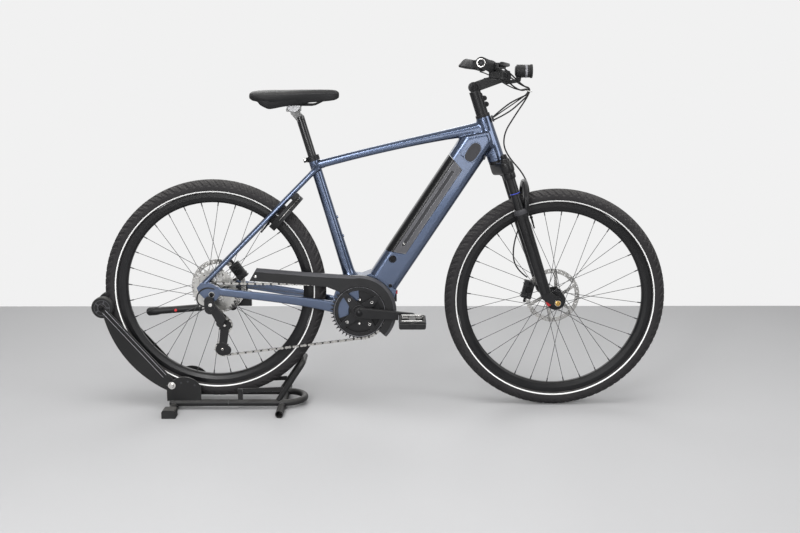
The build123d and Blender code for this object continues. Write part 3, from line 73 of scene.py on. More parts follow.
# Frame tubes. Welded aluminium tubes under a metallic blue-grey lacquer: fine metal flake in the colour
# coat, a clear coat over it, a little dust on the upper sides.
def node_group(name, inputs, outputs):
    tree = bpy.data.node_groups.new(name, "ShaderNodeTree")
    for label, kind, value in inputs:
        tree.interface.new_socket(label, in_out="INPUT", socket_type=kind).default_value = value
    for label, kind in outputs:
        tree.interface.new_socket(label, in_out="OUTPUT", socket_type=kind)
    return tree, tree.nodes.new("NodeGroupInput"), tree.nodes.new("NodeGroupOutput")


def math_node(tree, operation, a, b=0.0, clamp=False):
    node = tree.nodes.new("ShaderNodeMath")
    node.operation = operation
    node.use_clamp = clamp
    for socket, value in zip(node.inputs, (a, b)):
        if isinstance(value, (int, float)):
            socket.default_value = value
        else:
            tree.links.new(value, socket)
    return node.outputs[0]


def noise_node(tree, place, scale, detail=3.0):
    node = tree.nodes.new("ShaderNodeTexNoise")
    node.inputs["Detail"].default_value = detail
    tree.links.new(place, node.inputs["Vector"])
    if isinstance(scale, (int, float)):
        node.inputs["Scale"].default_value = scale
    else:
        tree.links.new(scale, node.inputs["Scale"])
    return node.outputs[0]


FLOAT = "NodeSocketFloat"

# Fine grain: tiny bumps of a moulded, blasted or sprayed skin, and slow patches of tone
fine_grain, given, put = node_group("fine_grain", [("Scale", FLOAT, 900.0), ("Patch Scale", FLOAT, 8.0)],
                                    [("Height", FLOAT), ("Patch", FLOAT)])
where = fine_grain.nodes.new("ShaderNodeTexCoord").outputs["Object"]
small = noise_node(fine_grain, where, given.outputs["Scale"], 2.0)
slow = noise_node(fine_grain, where, given.outputs["Patch Scale"], 4.0)
fine_grain.links.new(small, put.inputs["Height"])
fine_grain.links.new(math_node(fine_grain, "MULTIPLY_ADD", slow, 2.4, True), put.inputs["Patch"])
fine_grain.nodes["Math"].inputs[2].default_value = -0.7

# Edge rub: a broken mask along outer edges, where handling takes the finish off
edge_rub, given, put = node_group("edge_rub", [("Strength", FLOAT, 1.0)], [("Mask", FLOAT)])
rounded = edge_rub.nodes.new("ShaderNodeBevel")
rounded.samples = 4
rounded.inputs["Radius"].default_value = 0.0012
flat_normal = edge_rub.nodes.new("ShaderNodeNewGeometry")
meet = edge_rub.nodes.new("ShaderNodeVectorMath")
meet.operation = "DOT_PRODUCT"
edge_rub.links.new(rounded.outputs[0], meet.inputs[0])
edge_rub.links.new(flat_normal.outputs["Normal"], meet.inputs[1])
turned = math_node(edge_rub, "SUBTRACT", 1.0, meet.outputs["Value"])
where = edge_rub.nodes.new("ShaderNodeTexCoord").outputs["Object"]
broken = math_node(edge_rub, "SUBTRACT", noise_node(edge_rub, where, 160.0), 0.36)
rubbed = math_node(edge_rub, "MULTIPLY", math_node(edge_rub, "MULTIPLY", turned, 26.0), broken)
rubbed = math_node(edge_rub, "MULTIPLY", rubbed, given.outputs["Strength"], True)
edge_rub.links.new(rubbed, put.inputs["Mask"])

# Settled dust: a thin veil on faces that look up
settled_dust, given, put = node_group("settled_dust", [("Amount", FLOAT, 0.1)], [("Mask", FLOAT)])
facing = settled_dust.nodes.new("ShaderNodeSeparateXYZ")
settled_dust.links.new(settled_dust.nodes.new("ShaderNodeNewGeometry").outputs["Normal"], facing.inputs[0])
raised = math_node(settled_dust, "SUBTRACT", facing.outputs["Z"], 0.25)
up = math_node(settled_dust, "MULTIPLY", raised, 1.3, True)
where = settled_dust.nodes.new("ShaderNodeTexCoord").outputs["Object"]
veil = math_node(settled_dust, "MULTIPLY", up, noise_node(settled_dust, where, 55.0, 5.0))
veil = math_node(settled_dust, "MULTIPLY", veil, given.outputs["Amount"], True)
settled_dust.links.new(veil, put.inputs["Mask"])


def place_group(tree, group, **values):
    node = tree.nodes.new("ShaderNodeGroup")
    node.node_tree = group
    for label, value in values.items():
        node.inputs[label.replace("_", " ")].default_value = value
    return node


def mix_colours(tree, factor, first, second):
    node = tree.nodes.new("ShaderNodeMix")
    node.data_type = "RGBA"
    tree.links.new(factor, node.inputs["Factor"])
    for socket, value in ((node.inputs[6], first), (node.inputs[7], second)):
        if isinstance(value, tuple):
            socket.default_value = (*value, 1.0)
        else:
            tree.links.new(value, socket)
    return node.outputs[2]


DUST = (0.36, 0.35, 0.33)


def surface(name, colour, second, rough, metal=0.0, grain=900.0, relief=0.15, patch=8.0, edge=0.0007,
            rub=0.0, rub_colour=(0.45, 0.45, 0.45), dust=0.12, coat=0.0, rough_spread=0.12, gloss=0.5):
    # one finish: two tones in slow patches, rubbed edges, dust, grain in the bump and in the roughness
    material = bpy.data.materials.new(name)
    material.use_nodes = True
    tree = material.node_tree
    shader = tree.nodes["Principled BSDF"]
    shader.inputs["Metallic"].default_value = metal
    shader.inputs["Specular IOR Level"].default_value = gloss
    shader.inputs["Coat Weight"].default_value = coat
    shader.inputs["Coat Roughness"].default_value = 0.1
    skin = place_group(tree, fine_grain, Scale=grain, Patch_Scale=patch)
    tone = mix_colours(tree, skin.outputs["Patch"], colour, second)
    if rub:
        tone = mix_colours(tree, place_group(tree, edge_rub, Strength=rub).outputs[0], tone, rub_colour)
    if dust:
        tone = mix_colours(tree, place_group(tree, settled_dust, Amount=dust).outputs[0], tone, DUST)
    tree.links.new(tone, shader.inputs["Base Color"])
    spread = math_node(tree, "MULTIPLY_ADD", skin.outputs["Patch"], rough_spread, True)
    spread.node.inputs[2].default_value = rough - rough_spread / 2
    tree.links.new(spread, shader.inputs["Roughness"])
    bump = tree.nodes.new("ShaderNodeBump")
    bump.inputs["Strength"].default_value = relief
    bump.inputs["Distance"].default_value = 0.0004
    tree.links.new(skin.outputs["Height"], bump.inputs["Height"])
    if edge:
        bevel = tree.nodes.new("ShaderNodeBevel")
        bevel.samples = 4
        bevel.inputs["Radius"].default_value = edge
        tree.links.new(bevel.outputs[0], bump.inputs["Normal"])
    tree.links.new(bump.outputs[0], shader.inputs["Normal"])
    return material


def dress(material, *names):
    for name in names:
        slots = nodes[name].data.materials
        slots.clear()
        slots.append(material)


def blue_lacquer(name, rough, edge):
    return surface(name, (0.083, 0.109, 0.172), (0.099, 0.129, 0.202), rough, metal=0.94, grain=3200.0,
                   relief=0.02, edge=edge, dust=0.05, coat=0.55, patch=5.0, rough_spread=0.05)


lacquer = blue_lacquer("blue_grey_lacquer", 0.30, 0.0022)
tube_lacquer = blue_lacquer("blue_grey_tube_lacquer", 0.27, 0.0)


# Charge port and frame plugs. Rubber pressed into the frame: an oval cap on the right of the head gusset, a
# slotted plug beside it and the grommet where the cables enter; with a cover bolt and moulded clips under
# the down tube.
def mm(x, y, z):
    return Vector((x, y, z)) / 1000


def gather(*shapes):
    points, faces = [], []
    for more_points, more_faces in shapes:
        base = len(points)
        points += more_points
        faces += [tuple(i + base for i in face) for face in more_faces]
    return points, faces


def add_piece(name, shape, material, angle=40.0):
    mesh = bpy.data.meshes.new(name)
    mesh.from_pydata(shape[0], [], shape[1])
    work = bmesh.new()
    work.from_mesh(mesh)
    bmesh.ops.remove_doubles(work, verts=work.verts, dist=1e-6)
    bmesh.ops.recalc_face_normals(work, faces=work.faces)
    work.to_mesh(mesh)
    work.free()
    mesh.shade_smooth()
    mesh.set_sharp_from_angle(angle=math.radians(angle))
    mesh.materials.append(material)
    piece = bpy.data.objects.new(name, mesh)
    bpy.context.scene.collection.objects.link(piece)
    return piece


def fit(piece, body, slot, *stands_for):
    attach(piece, body)
    if stands_for:
        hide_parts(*stands_for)
    return piece


def soften(piece, width, segments=3):
    bevel = piece.modifiers.new("soft_edges", "BEVEL")
    bevel.width = width
    bevel.segments = segments
    bevel.limit_method = "ANGLE"
    bevel.angle_limit = math.radians(35)
    bevel.harden_normals = True
    return piece


def mount(name, shape, material, body, slot, *stands_for, angle=40.0, soft=0.0, segments=3):
    # makes a piece, softens its edges where asked, and fits it to its body
    piece = add_piece(name, shape, material, angle)
    if soft:
        soften(piece, soft, segments)
    return fit(piece, body, slot, *stands_for)


def plate(outline, origin, along, across, depth):
    # an outline drawn on two directions, given a thickness square to both
    along, across = Vector(along).normalized(), Vector(across).normalized()
    out = along.cross(across)
    base = [Vector(origin) + along * x + across * y for x, y in outline]
    points = base + [p + out * depth for p in base]
    n = len(outline)
    faces = [tuple(range(n)), tuple(range(2 * n - 1, n - 1, -1))]
    faces += [(i, (i + 1) % n, n + (i + 1) % n, n + i) for i in range(n)]
    return points, faces


def side_plate(outline, at, depth):
    # a plate that faces the bicycle's right side: x forward and z up in its outline
    return plate(outline, at, (1, 0, 0), (0, 0, 1), depth)


def block(low, high):
    outline = [(low[0], low[2]), (high[0], low[2]), (high[0], high[2]), (low[0], high[2])]
    return side_plate(outline, (0, high[1], 0), high[1] - low[1])


def lathe(profile, centre, axis, steps=40, ring=False):
    # the profile is (radius, along the axis); ring joins its last point to its first
    axis = Vector(axis).normalized()
    side = axis.orthogonal().normalized()
    other = axis.cross(side)
    n = len(profile)
    points, faces = [], []
    for k in range(steps):
        turn = 2 * math.pi * k / steps
        out = side * math.cos(turn) + other * math.sin(turn)
        points += [Vector(centre) + axis * a + out * r for r, a in profile]
        here, following = k * n, (k + 1) % steps * n
        for i in range(n if ring else n - 1):
            j = (i + 1) % n
            faces.append((here + i, here + j, following + j, following + i))
    return points, faces


def oval(length, width, count=40, power=2.6):
    points = []
    for k in range(count):
        c, s = math.cos(2 * math.pi * k / count), math.sin(2 * math.pi * k / count)
        points.append((length / 2 * math.copysign(abs(c) ** (2 / power), c),
                       width / 2 * math.copysign(abs(s) ** (2 / power), s)))
    return points


def bolt_head(at, axis, radius, height):
    # a button head with a drilled socket, sunk a little into what it holds
    r, h = radius, height
    return lathe([(0, 0.3 * h), (0.42 * r, 0.3 * h), (0.5 * r, h), (0.78 * r, h), (r, 0.62 * h),
                  (r, -0.3 * h), (0, -0.3 * h)], at, axis, 24)


def join_rings(rings):
    # rings of points, all as long as the first, joined in order and closed at both ends
    points = [p for ring in rings for p in ring]
    n = len(rings[0])
    faces = []
    for i in range(len(rings) - 1):
        here, following = i * n, (i + 1) * n
        for k in range(n):
            faces.append((here + k, here + (k + 1) % n, following + (k + 1) % n, following + k))
    faces += [tuple(range(n)), tuple(range(len(points) - 1, len(points) - 1 - n, -1))]
    return points, faces


def tube(line, radius, sides=12):
    # a round tube along points, its section carried round each bend without twist
    line = [Vector(p) for p in line]
    rings = []
    side = None
    for i, p in enumerate(line):
        run = (line[min(i + 1, len(line) - 1)] - line[max(i - 1, 0)]).normalized()
        side = run.orthogonal() if side is None else side - run * side.dot(run)
        side = side.normalized()
        other = run.cross(side)
        turns = [2 * math.pi * k / sides for k in range(sides)]
        rings.append([p + (side * math.cos(a) + other * math.sin(a)) * radius for a in turns])
    return join_rings(rings)


rubber_and_recess_shade = surface("rubber_and_painted_recess_shade", (0.0300, 0.0300, 0.0336), (0.0420, 0.0420, 0.0456), 0.62, gloss=0.22,
                     grain=2600.0, relief=0.3, dust=0.1)
red_plastic = surface("red_plastic", (0.42, 0.012, 0.016), (0.50, 0.020, 0.024), 0.40, grain=2000.0,
                      relief=0.15, edge=0.0008, dust=0.08)
bolt_black = surface("bolt_black_oxide", (0.0100, 0.0100, 0.0110), (0.0200, 0.0200, 0.0210), 0.34,
                     gloss=0.30, metal=0.7, grain=1800.0, relief=0.1, dust=0.08)
side_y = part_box("down_tube")[0].y
down_foot = mm(13.0, 0, 423.6)
down_dir = Vector((0.5515, 0, 0.8342))
down_up = Vector((-0.8342, 0, 0.5515))
cap_at = Vector((0.2962, side_y, 0.8415))
mount("charge_port_cap", plate(oval(0.064, 0.037), cap_at + Vector((0, 0.0008, 0)), down_dir, down_up,
                               0.0050), rubber_and_recess_shade, "bicycle", "soft_rubber", soft=0.0012)
mount("charge_port_rim", plate(oval(0.070, 0.043), cap_at + Vector((0, 0.0006, 0)), down_dir, down_up,
                               0.0036), lacquer, "bicycle", "frame_paint", soft=0.0006)
mount("frame_slot_plug", plate(oval(0.0145, 0.0055, 24, 3.2), (0.3338, side_y + 0.0006, 0.8250),
                               (0.18, 0, 0.98), (-0.98, 0, 0.18), 0.0044), rubber_and_recess_shade, "bicycle",
      "soft_rubber", soft=0.0006)
stem_pivot = mm(299.7, 0, 1042.5)
steer_down = Vector((0.31234, 0, -0.94997))
steer_front = Vector((0.94997, 0, 0.31234))


def steer_at(s, n, y):
    # s down the steering axis from the stem pivot, n forward of it, y to the left, all in millimetres
    return stem_pivot + mm(0, y, 0) + (steer_down * s + steer_front * n) / 1000


mount("cable_entry_grommet", plate(oval(0.040, 0.021, 36, 3.0), steer_at(111, 25.5, 0), (0, 1, 0),
                                   -steer_down, 0.0042), rubber_and_recess_shade, "bicycle", "soft_rubber", soft=0.0014)
mount("cover_bolt", bolt_head((0.0346, side_y, 0.4103), (0, -1, 0), 0.0062, 0.0026), bolt_black, "bicycle",
      "black_metal")
mount("battery_clip_red", block((0.0495, -0.026, 0.3805), (0.0585, -0.012, 0.3915)), red_plastic, "bicycle",
      "black_plastic", soft=0.0014)
mount("battery_clip_black", block((0.0440, -0.025, 0.3545), (0.0560, -0.012, 0.3790)), rubber_and_recess_shade, "bicycle",
      "soft_rubber", soft=0.0020)


# Welds. Where the tubes meet they are drawn together by filled and smoothed welds under the same lacquer: a
# skin over the head joint, and flared collars where top tube and stays run into the seat tube.
def head_skin():
    # head tube, top tube and down tube as one skin, eased at the corners and kept near the joint only
    skin_from, skin_ahead_of, taper, lift = 0.474, 0.185, 0.03, 0.0007
    work = bmesh.new()
    for name in ("head_tube", "top_tube", "down_tube"):
        work.from_mesh(nodes[name].data)
    plug = tube([mm(150, 0, 881), mm(190, 0, 889.5), mm(256, 0, 903), mm(322, 0, 915)], 0.0125)
    filled = bpy.data.meshes.new("top_tube_plug")
    filled.from_pydata(plug[0], [], plug[1])
    work.from_mesh(filled)
    bpy.data.meshes.remove(filled)
    whole = bpy.data.meshes.new("head_joint")
    work.to_mesh(whole)
    work.free()
    piece = bpy.data.objects.new("head_joint_weld", whole)
    bpy.context.scene.collection.objects.link(piece)
    skin = piece.modifiers.new("one_skin", "REMESH")
    skin.mode = "VOXEL"
    skin.voxel_size = 0.0026
    ease = piece.modifiers.new("ease", "SMOOTH")
    ease.factor = 0.5
    ease.iterations = 26
    eased = bpy.data.meshes.new_from_object(piece.evaluated_get(bpy.context.evaluated_depsgraph_get()))
    piece.modifiers.clear()
    piece.data = eased
    work = bmesh.new()
    work.from_mesh(eased)
    far = [v for v in work.verts if (v.co - down_foot).dot(down_dir) < skin_from or v.co.x < skin_ahead_of]
    bmesh.ops.delete(work, geom=far, context="VERTS")
    bmesh.ops.holes_fill(work, edges=[e for e in work.edges if e.is_boundary], sides=0)
    work.normal_update()
    for v in work.verts:
        along, ahead = (v.co - down_foot).dot(down_dir) - skin_from, v.co.x - skin_ahead_of
        v.co += v.normal * lift * max(min(along / taper, ahead / taper, 1.0), 0.0)
    work.to_mesh(eased)
    work.free()
    eased.materials.clear()
    eased.materials.append(tube_lacquer)
    eased.shade_smooth()
    return piece


def flare(start, toward, radius, spread, length):
    # a collar round a tube that widens towards the tube it is welded to
    run = (Vector(toward) - Vector(start)).normalized()
    profile = [(radius + 0.0002 + spread * (1 - t) ** 3, length * t)
               for t in (0, 0.15, 0.3, 0.45, 0.6, 0.8, 1.0)]
    return lathe([(0, 0)] + profile + [(radius - 0.001, length), (0, length)], start, run, 40)


def smooth_copy(name, body, slot, material):
    # the CAD shape again with its shading carried evenly across the facets
    mesh = nodes[name].data
    shape = [v.co.copy() for v in mesh.vertices], [tuple(f.vertices) for f in mesh.polygons]
    mount(name + "_skin", shape, material, body, slot, name, angle=32.0)


fit(head_skin(), "bicycle", "frame_paint")
for name in ("down_tube", "chain_stays", "motor_cradle"):
    smooth_copy(name, "bicycle", "frame_paint", lacquer)
for name in ("head_tube", "top_tube", "seat_tube", "seat_stays"):
    smooth_copy(name, "bicycle", "frame_paint", tube_lacquer)
collars = [flare(mm(-203, 0, 797), mm(-100, 0, 824), 0.0142, 0.006, 0.026)]
for side in (-1, 1):
    top = mm(-204.8, side * 20, 783)
    collars.append(flare(top + mm(9, -side * 2, 9), mm(-566, side * 74, 420), 0.0085, 0.006, 0.034))
collars.append(flare(mm(-97, 0, 434), mm(-158, 0, 640), 0.0196, 0.008, 0.030))
mount("seat_joint_welds", gather(*collars), tube_lacquer, "bicycle", "frame_paint", angle=60.0)


# Battery. A long pack let into the down tube: satin grey sides, their grey partly painted reflection of the
# light, a pressed groove drawn as a dark plate of painted shade inside light lines of painted highlight, the
# panel outlined by a light line of painted highlight, a gloss black strip along the top, a steel rivet at
# the groove's lower end and the round key lock in the tube below it.
def banded(material, direction, edge_at, colour, rough):
    # lays a second finish over the part of a surface that lies beyond a plane
    tree = material.node_tree
    shader = tree.nodes["Principled BSDF"]
    place = tree.nodes.new("ShaderNodeTexCoord").outputs["Object"]
    reach = tree.nodes.new("ShaderNodeVectorMath")
    reach.operation = "DOT_PRODUCT"
    reach.inputs[1].default_value = direction
    tree.links.new(place, reach.inputs[0])
    past = math_node(tree, "MULTIPLY", math_node(tree, "SUBTRACT", reach.outputs["Value"], edge_at), 4000.0,
                     True)
    under = shader.inputs["Base Color"].links[0].from_socket
    tree.links.new(mix_colours(tree, past, under, colour), shader.inputs["Base Color"])
    dull = shader.inputs["Roughness"].links[0].from_socket
    keep = math_node(tree, "MULTIPLY", dull, math_node(tree, "SUBTRACT", 1.0, past))
    tree.links.new(math_node(tree, "ADD", keep, math_node(tree, "MULTIPLY", past, rough)),
                   shader.inputs["Roughness"])


# sides in grey: partly the panel's own satin tone, partly painted reflection of the light
battery_skin = surface("battery_shell", (0.074, 0.074, 0.081), (0.090, 0.090, 0.098), 0.42, metal=0.3,
                       gloss=0.4, grain=2400.0, relief=0.18, edge=0.0016, dust=0.06)
banded(battery_skin, down_up, down_foot.dot(down_up) + 0.0275, (0.006, 0.006, 0.0065), 0.25)
dress(battery_skin, "battery_pack")
bright_steel = surface("polished_steel", (0.62, 0.61, 0.59), (0.70, 0.69, 0.67), 0.22, metal=1.0,
                       grain=1500.0, relief=0.06, dust=0.04, edge=0.0004)
groove_along, groove_up, groove_reach = 0.277, 0.013, 0.1405
middle = down_foot + down_dir * groove_along + down_up * groove_up
panel = [(118, -7.4), (437, -7.4), (439.5, -5), (448, 23), (446.5, 26.4), (103, 26.4), (102, 24), (115, -5)]


def long_slot(width):
    return [(x + math.copysign(groove_reach, x), y) for x, y in oval(width, width, 24, 2.0)]


slot, rail = long_slot(0.0096), long_slot(0.0122)
groove_shade_parts, highlight_line_parts = [], []
for side in (-1, 1):
    # a dark plate in each groove: painted shade of the recess
    groove_shade_parts.append(plate(slot, middle + Vector((0, side * 0.0358, 0)), down_dir, down_up,
                              -side * 0.0008))
    # thin light lines round each groove and round the panel: painted highlights on their edges
    for line in (rail, [(x / 1000 - groove_along, y / 1000 - groove_up) for x, y in panel]):
        run = [middle + down_dir * x + down_up * y + Vector((0, side * 0.0380, 0)) for x, y in line]
        highlight_line_parts.append(tube(run + run[:1], 0.00055, 8))
mount("battery_groove_painted_shade", gather(*groove_shade_parts), rubber_and_recess_shade, "battery", "black_plastic")
# light grey metal: real trim on the pedal rails and the lamp band, painted highlight on the battery,
# chainring lip and stand arm
grey_trim_and_painted_highlight = surface("grey_trim_and_painted_highlight", (0.26, 0.26, 0.28), (0.32, 0.32, 0.34), 0.32, metal=0.6, grain=1800.0,
                     relief=0.08, dust=0.05)
mount("battery_painted_highlight_lines", gather(*highlight_line_parts), grey_trim_and_painted_highlight, "battery", "black_plastic")
lock_at = Vector(joints["battery_lock_turn"]["pos_m"])
lock_ring = lathe([(0.0092, -0.002), (0.0092, 0.0012), (0.0104, 0.0019), (0.0122, 0.0012), (0.0126, -0.002)],
                  (lock_at.x, side_y, lock_at.z), (0, -1, 0), 48, True)
mount("battery_lock_ring", lock_ring, bolt_black, "bicycle", "black_metal")
dress(bolt_black, "battery_lock")
rivet_at = down_foot + down_dir * 0.1405 + down_up * groove_up
rivets = [bolt_head(rivet_at + Vector((0, y * 0.0372, 0)), (0, y, 0), 0.0030, 0.0012) for y in (-1, 1)]
mount("battery_rivets", gather(*rivets), bright_steel, "battery", "bright_steel")


# Motor. A cast black gearbox in the frame's cradle, with a ribbed round cover on the left held by screws,
# and a smooth bearing nose on the chain side.
cast_black = surface("cast_black", (0.0075, 0.0075, 0.0083), (0.0120, 0.0120, 0.0130), 0.52, gloss=0.30,
                     grain=1100.0, relief=0.45, edge=0.0016, dust=0.16)
dress(cast_black, "motor_unit")
motor_mid = mm(-54, 0, 322)
rib_count, screw_count = 24, 6


def around(angle):
    # outward and onward directions at an angle round a crosswise axle
    return Vector((math.cos(angle), 0, math.sin(angle))), Vector((-math.sin(angle), 0, math.cos(angle)))


motor_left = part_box("motor_unit")[1].y - 0.006
cover_rim = [(0.030, 0), (0.030, 0.0016), (0.033, 0.0016), (0.033, 0)]
cover_parts = [lathe(cover_rim, motor_mid + Vector((0, motor_left, 0)), (0, 1, 0), 64, True)]
for k in range(rib_count):
    out, turn = around(2 * math.pi * k / rib_count)
    cover_parts.append(plate([(0.034, -0.0011), (0.060, -0.0017), (0.060, 0.0017), (0.034, 0.0011)],
                             motor_mid + Vector((0, motor_left - 0.0004, 0)), out, turn, -0.0016))
mount("motor_cover_ribs", gather(*cover_parts), cast_black, "bicycle", "black_plastic")
screws = []
for k in range(screw_count):
    out = around(0.3 + 2 * math.pi * k / screw_count)[0]
    screws.append(bolt_head(motor_mid + out * 0.066 + Vector((0, motor_left, 0)), (0, 1, 0), 0.0042, 0.002))
mount("motor_cover_screws", gather(*screws), bolt_black, "bicycle", "black_metal")


# Chainring and spider. Black anodised alloy, the teeth worn bright by the chain, four ring bolts with steel
# rims, a raised lip inside the teeth coloured light grey as a painted highlight line.
black_alloy = surface("black_alloy", (0.0065, 0.0065, 0.0073), (0.0105, 0.0105, 0.0115), 0.36, gloss=0.30,
                      grain=1500.0, relief=0.12, edge=0.0012, rub=0.35, rub_colour=(0.16, 0.16, 0.16),
                      dust=0.08)
dress(black_alloy, "chainring", "seat_collar", "kickstand_bracket", "stem_base", "stem_arm", "handlebar",
      "hub_front", "hub_rear")
crank_at = joints["crank_spin"]["pos_m"]
ring_y = -0.0503
ring_teeth = 44


def crank_mid(y):
    return Vector((crank_at[0], y, crank_at[2]))


def in_metres(outline):
    return [(x / 1000, z / 1000) for x, z in outline]


def arc(radius, degrees, middle=(0, 0)):
    turns = [math.radians(a) for a in degrees]
    return [(middle[0] + radius * math.cos(a), middle[1] + radius * math.sin(a)) for a in turns]


# the lip in light grey metal: a painted highlight line inside the teeth
ring_lip = lathe([(0.0815, -0.0005), (0.0815, 0.0022), (0.0822, 0.0028), (0.0830, 0.0022),
                  (0.0830, -0.0005)], crank_mid(ring_y - 0.001), (0, -1, 0), 120, True)
mount("chainring_lip_painted_highlight", ring_lip, grey_trim_and_painted_highlight, "cranks", "black_metal")
tips = []
for v in nodes["chainring"].data.vertices:
    reach = Vector((v.co.x - crank_at[0], v.co.z - crank_at[2]))
    if reach.length > 0.0913:
        tips.append(math.atan2(reach.y, reach.x) * ring_teeth)
first_tooth = math.atan2(sum(math.sin(a) for a in tips), sum(math.cos(a) for a in tips)) / ring_teeth
tooth = [(-2.9, 85.5), (-2.2, 88.9), (-1.4, 92.0), (-0.7, 94.4), (0.7, 94.4), (1.4, 92.0), (2.2, 88.9),
         (2.9, 85.5)]
teeth = []
for k in range(ring_teeth):
    out, turn = around(first_tooth + 2 * math.pi * k / ring_teeth)
    teeth.append(plate(in_metres(tooth), crank_mid(ring_y - 0.0009), turn, out, 0.0018))
mount("chainring_teeth", gather(*teeth), black_alloy, "cranks", "black_metal")
yoke_sweep = range(92, 202, 4)
yoke_line = arc(0.072, yoke_sweep) + arc(0.036, reversed(yoke_sweep))
yoke_skin = side_plate(yoke_line, crank_mid(-0.0398), 0.0024)
mount("frame_yoke_skin", yoke_skin, lacquer, "bicycle", "frame_paint", soft=0.0008)
ring_bolts, ring_cores = [], []
for k in range(4):
    at = crank_mid(ring_y - 0.0048) + around(math.radians(39 + 90 * k))[0] * 0.052
    ring_bolts.append(lathe([(0.0026, -0.001), (0.0026, 0.0022), (0.0046, 0.0024), (0.0052, 0.0012),
                             (0.0052, -0.001)], at, (0, -1, 0), 28, True))
    ring_cores.append(lathe([(0, 0.0006), (0.0026, 0.0006), (0.0026, -0.001), (0, -0.001)], at, (0, -1, 0),
                            20))
for up in (-1, 1):
    ring_bolts.append(bolt_head(crank_mid(-0.0440) + Vector((0.001, 0, 0.0395)) * up, (0, -1, 0), 0.0046,
                                0.004))
mount("chainring_bolts", gather(*ring_bolts), bright_steel, "cranks", "bright_steel")
mount("chainring_bolt_cores", gather(*ring_cores), bolt_black, "cranks", "black_metal")


# Cranks. Forged alloy arms, black, pressed on the motor's spindle: a broad rounded edge all round, a dust
# cap over the spindle and the eye of the pedal axle at the end.
def hull(first, r0, second, r1, count=56):
    # the outline of a band laid round two circles
    points = []
    for k in range(count):
        n = Vector((math.cos(2 * math.pi * k / count), math.sin(2 * math.pi * k / count)))
        a, b = Vector(first), Vector(second)
        points.append(tuple(a + n * r0 if a.dot(n) + r0 >= b.dot(n) + r1 else b + n * r1))
    return points


crank_length = 0.170
crank_pieces = []
for turn, near, far in ((-4, -0.061, -0.075), (176, 0.078, 0.064)):
    eye = arc(crank_length, [turn], (crank_at[0], crank_at[2]))[0]
    outline = hull((crank_at[0], crank_at[2]), 0.0185, eye, 0.0125)
    mount("crank_arm_right" if turn < 0 else "crank_arm_left", side_plate(outline, (0, near, 0), near - far),
          black_alloy, "cranks", "black_metal", "cranks", soft=0.0036, segments=4)
    out = -1 if turn < 0 else 1
    face = far if turn < 0 else near
    crank_pieces.append(lathe([(0, 0.0018), (0.009, 0.0018), (0.0105, 0.0006), (0.0105, -0.002),
                               (0, -0.002)], crank_mid(face), (0, out, 0), 36))
    crank_pieces.append(lathe([(0, 0.112), (0.0048, 0.112), (0.005, 0.111), (0.005, 0.009), (0.008, 0.008),
                               (0.008, -0.004), (0, -0.004)], (eye[0], face, eye[1]), (0, out, 0), 24))
crank_pieces.append(lathe([(0, -0.0745), (0.01, -0.0745), (0.01, 0.0775), (0, 0.0775)], crank_mid(0),
                          (0, 1, 0), 32))
mount("crank_caps_and_axles", gather(*crank_pieces), bolt_black, "cranks", "black_metal", "cranks")


# Chain guard. Black moulded cover over the chainring and upper chain run, its outer edge a wide chamfer
# under a lighter grey strip that is a painted highlight, held by a screw at its rear end.
guard_black = surface("guard_black", (0.0080, 0.0080, 0.0085), (0.0125, 0.0125, 0.0135), 0.44, gloss=0.30,
                      grain=2000.0, relief=0.2, edge=0.001, dust=0.1)
guard_top = [(-395, 471), (-352, 467.3), (-308.5, 463.5), (-222, 456), (-150, 451.2)]
guard_low = [(-418, 431), (-358, 427), (-296, 422.5), (-215, 416.5), (-169, 411)]
guard_mid, guard_outer_r, guard_inner_r, guard_steps = (-65, 327), 120, 85.5, 36
guard_top += arc(guard_outer_r, [96 - 4 * k for k in range(guard_steps)], guard_mid)
guard_low += arc(guard_inner_r, [131 - 5 * k for k in range(guard_steps)], guard_mid)


def guard_strip(section):
    # a closed section carried along the guard: share of the way in, millimetres further in, and y
    rings = []
    for upper, lower in zip(guard_top, guard_low):
        across = Vector(lower) - Vector(upper)
        places = [(Vector(upper) + across * share + across.normalized() * inset, y)
                  for share, inset, y in section]
        rings.append([mm(at.x, y, at.y) for at, y in places])
    return join_rings(rings)


shell = guard_strip([(0, 0.6, -42.0), (0, 0.6, -50.4), (0, 9.6, -60.2), (1, -1.0, -60.5), (1, 0, -59.6),
                     (1, 0, -58.5), (0, 10.0, -58.4), (0, 2.2, -50.2), (0, 2.2, -42.0)])
mount("chain_guard_shell", shell, guard_black, "bicycle", "black_plastic", "chain_guard", angle=24.0)
# lighter grey over the chamfer: a painted highlight; the stand's roller hubs take the same grey
guard_highlight_and_hub_grey = surface("guard_painted_highlight_and_hub_grey", (0.060, 0.060, 0.066), (0.078, 0.078, 0.085), 0.34, gloss=0.5,
                            metal=0.4, grain=2600.0, relief=0.06, dust=0.05)
edge_strip = guard_strip([(0, -0.2, -44.0), (0, -0.2, -50.2), (0, 0.6, -51.4), (0, 9.4, -60.9),
                          (0, 10.4, -60.9), (0, 10.4, -60.1), (0, 1.0, -50.0), (0, 1.0, -44.0)])
mount("chain_guard_highlight_strip", edge_strip, guard_highlight_and_hub_grey, "bicycle", "black_plastic", angle=30.0)
mount("chain_guard_screw", bolt_head(mm(-398, -60.4, 446), (0, -1, 0), 0.0050, 0.0022), bright_steel,
      "bicycle", "bright_steel")


# Pedals. Black resin bodies on a steel axle, with toothed plates along the edges of the tread, a bumper
# moulded on the outer end and a dark axle cap.
pedal_resin = surface("pedal_resin", (0.0085, 0.0085, 0.0090), (0.0135, 0.0135, 0.0140), 0.5, gloss=0.30,
                      grain=1500.0, relief=0.35, edge=0.001, dust=0.25)
dress(pedal_resin, "pedal_right", "pedal_left")
tooth_step = 0.0102


